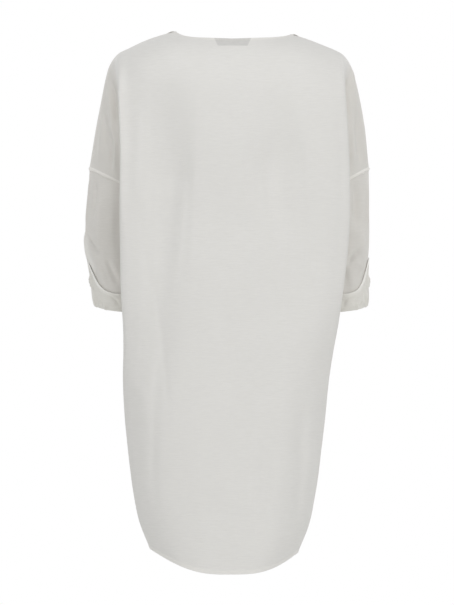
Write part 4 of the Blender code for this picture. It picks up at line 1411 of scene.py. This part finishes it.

# %% [markdown]
# ## Floor
# A pale round floor lies far enough below the hem to stay out of the picture, and sends a little
# light back up. It is part of the studio and not of the shirt, so it is marked as a backdrop and
# left out of the sizes.

# %% A pale floor
FLOOR_RADIUS, FLOOR_Z, FLOOR_TONE, FLOOR_ROUGH = 3.2, -1.45, (0.86, 0.86, 0.85, 1), 0.8
bpy.ops.mesh.primitive_circle_add(
    vertices=96, radius=FLOOR_RADIUS, fill_type="NGON", location=(0, 0, FLOOR_Z)
)
floor = bpy.context.object
floor.name = "studio_floor"
pale = bpy.data.materials.new("pale_floor")
pale.use_nodes = True
floor_shader = pale.node_tree.nodes["Principled BSDF"]
floor_shader.inputs["Base Color"].default_value = FLOOR_TONE
floor_shader.inputs["Roughness"].default_value = FLOOR_ROUGH
floor.data.materials.append(pale)
floor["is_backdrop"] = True

# %% [markdown]
# ## Lights
# The studio is white, with broad soft lights on both sides: the sleeves lie behind the folds of
# the back, where less of that light reaches them. Small lights would give hard shadows, which
# thin cloth in a white studio doesn't show.

# %% Soft lights and a white studio
LIGHT_AIM = (0.0, 0.0, -0.45)
AMBIENT_TONE, AMBIENT = (0.96, 0.98, 1.0, 1), 0.42


def softbox(name, at, size, power):
    data = bpy.data.lights.new(name, "AREA")
    data.shape, data.size, data.size_y, data.energy = "RECTANGLE", size[0], size[1], power
    lamp = bpy.data.objects.new(name, data)
    lamp.location = at
    lamp.rotation_euler = (Vector(LIGHT_AIM) - Vector(at)).to_track_quat("-Z", "Y").to_euler()
    bpy.context.scene.collection.objects.link(lamp)


LIGHTS = (  # name, place, width and height, watts
    ("behind_camera", (0.0, 7.4, 0.5), (3.2, 2.6), 13),
    ("above", (0.0, 1.2, 2.6), (2.0, 1.4), 33.5),
    ("back_right", (-2.4, 2.6, -0.1), (1.4, 2.0), 35),
    ("back_left", (2.6, 2.4, -0.2), (1.4, 2.0), 25),
    ("front_left", (2.2, -2.8, 1.0), (1.4, 2.0), 35),
    ("front_right", (-2.4, -2.4, 0.6), (1.4, 2.0), 23),
)
for row in LIGHTS:
    softbox(*row)
world = bpy.data.worlds.new("white_studio")
bpy.context.scene.world = world
world.use_nodes = True
tree = world.node_tree
tree.nodes.clear()
ambient = add_node(tree, "ShaderNodeBackground", {"Color": AMBIENT_TONE, "Strength": AMBIENT})
white = add_node(tree, "ShaderNodeBackground", {"Color": (1, 1, 1, 1), "Strength": 1.0})
seen = add_node(tree, "ShaderNodeLightPath").outputs["Is Camera Ray"]
sky = add_node(tree, "ShaderNodeMixShader", {0: seen, 1: ambient.outputs[0], 2: white.outputs[0]})
add_node(tree, "ShaderNodeOutputWorld", {"Surface": sky.outputs[0]})
bpy.context.scene.view_settings.view_transform = "Standard"
print("lights:", [row[0] for row in LIGHTS])

# %% Sizes, and the end
low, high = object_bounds()
print("dressed box, mm:", [round(1000 * (b - a)) for a, b in zip(low, high)])
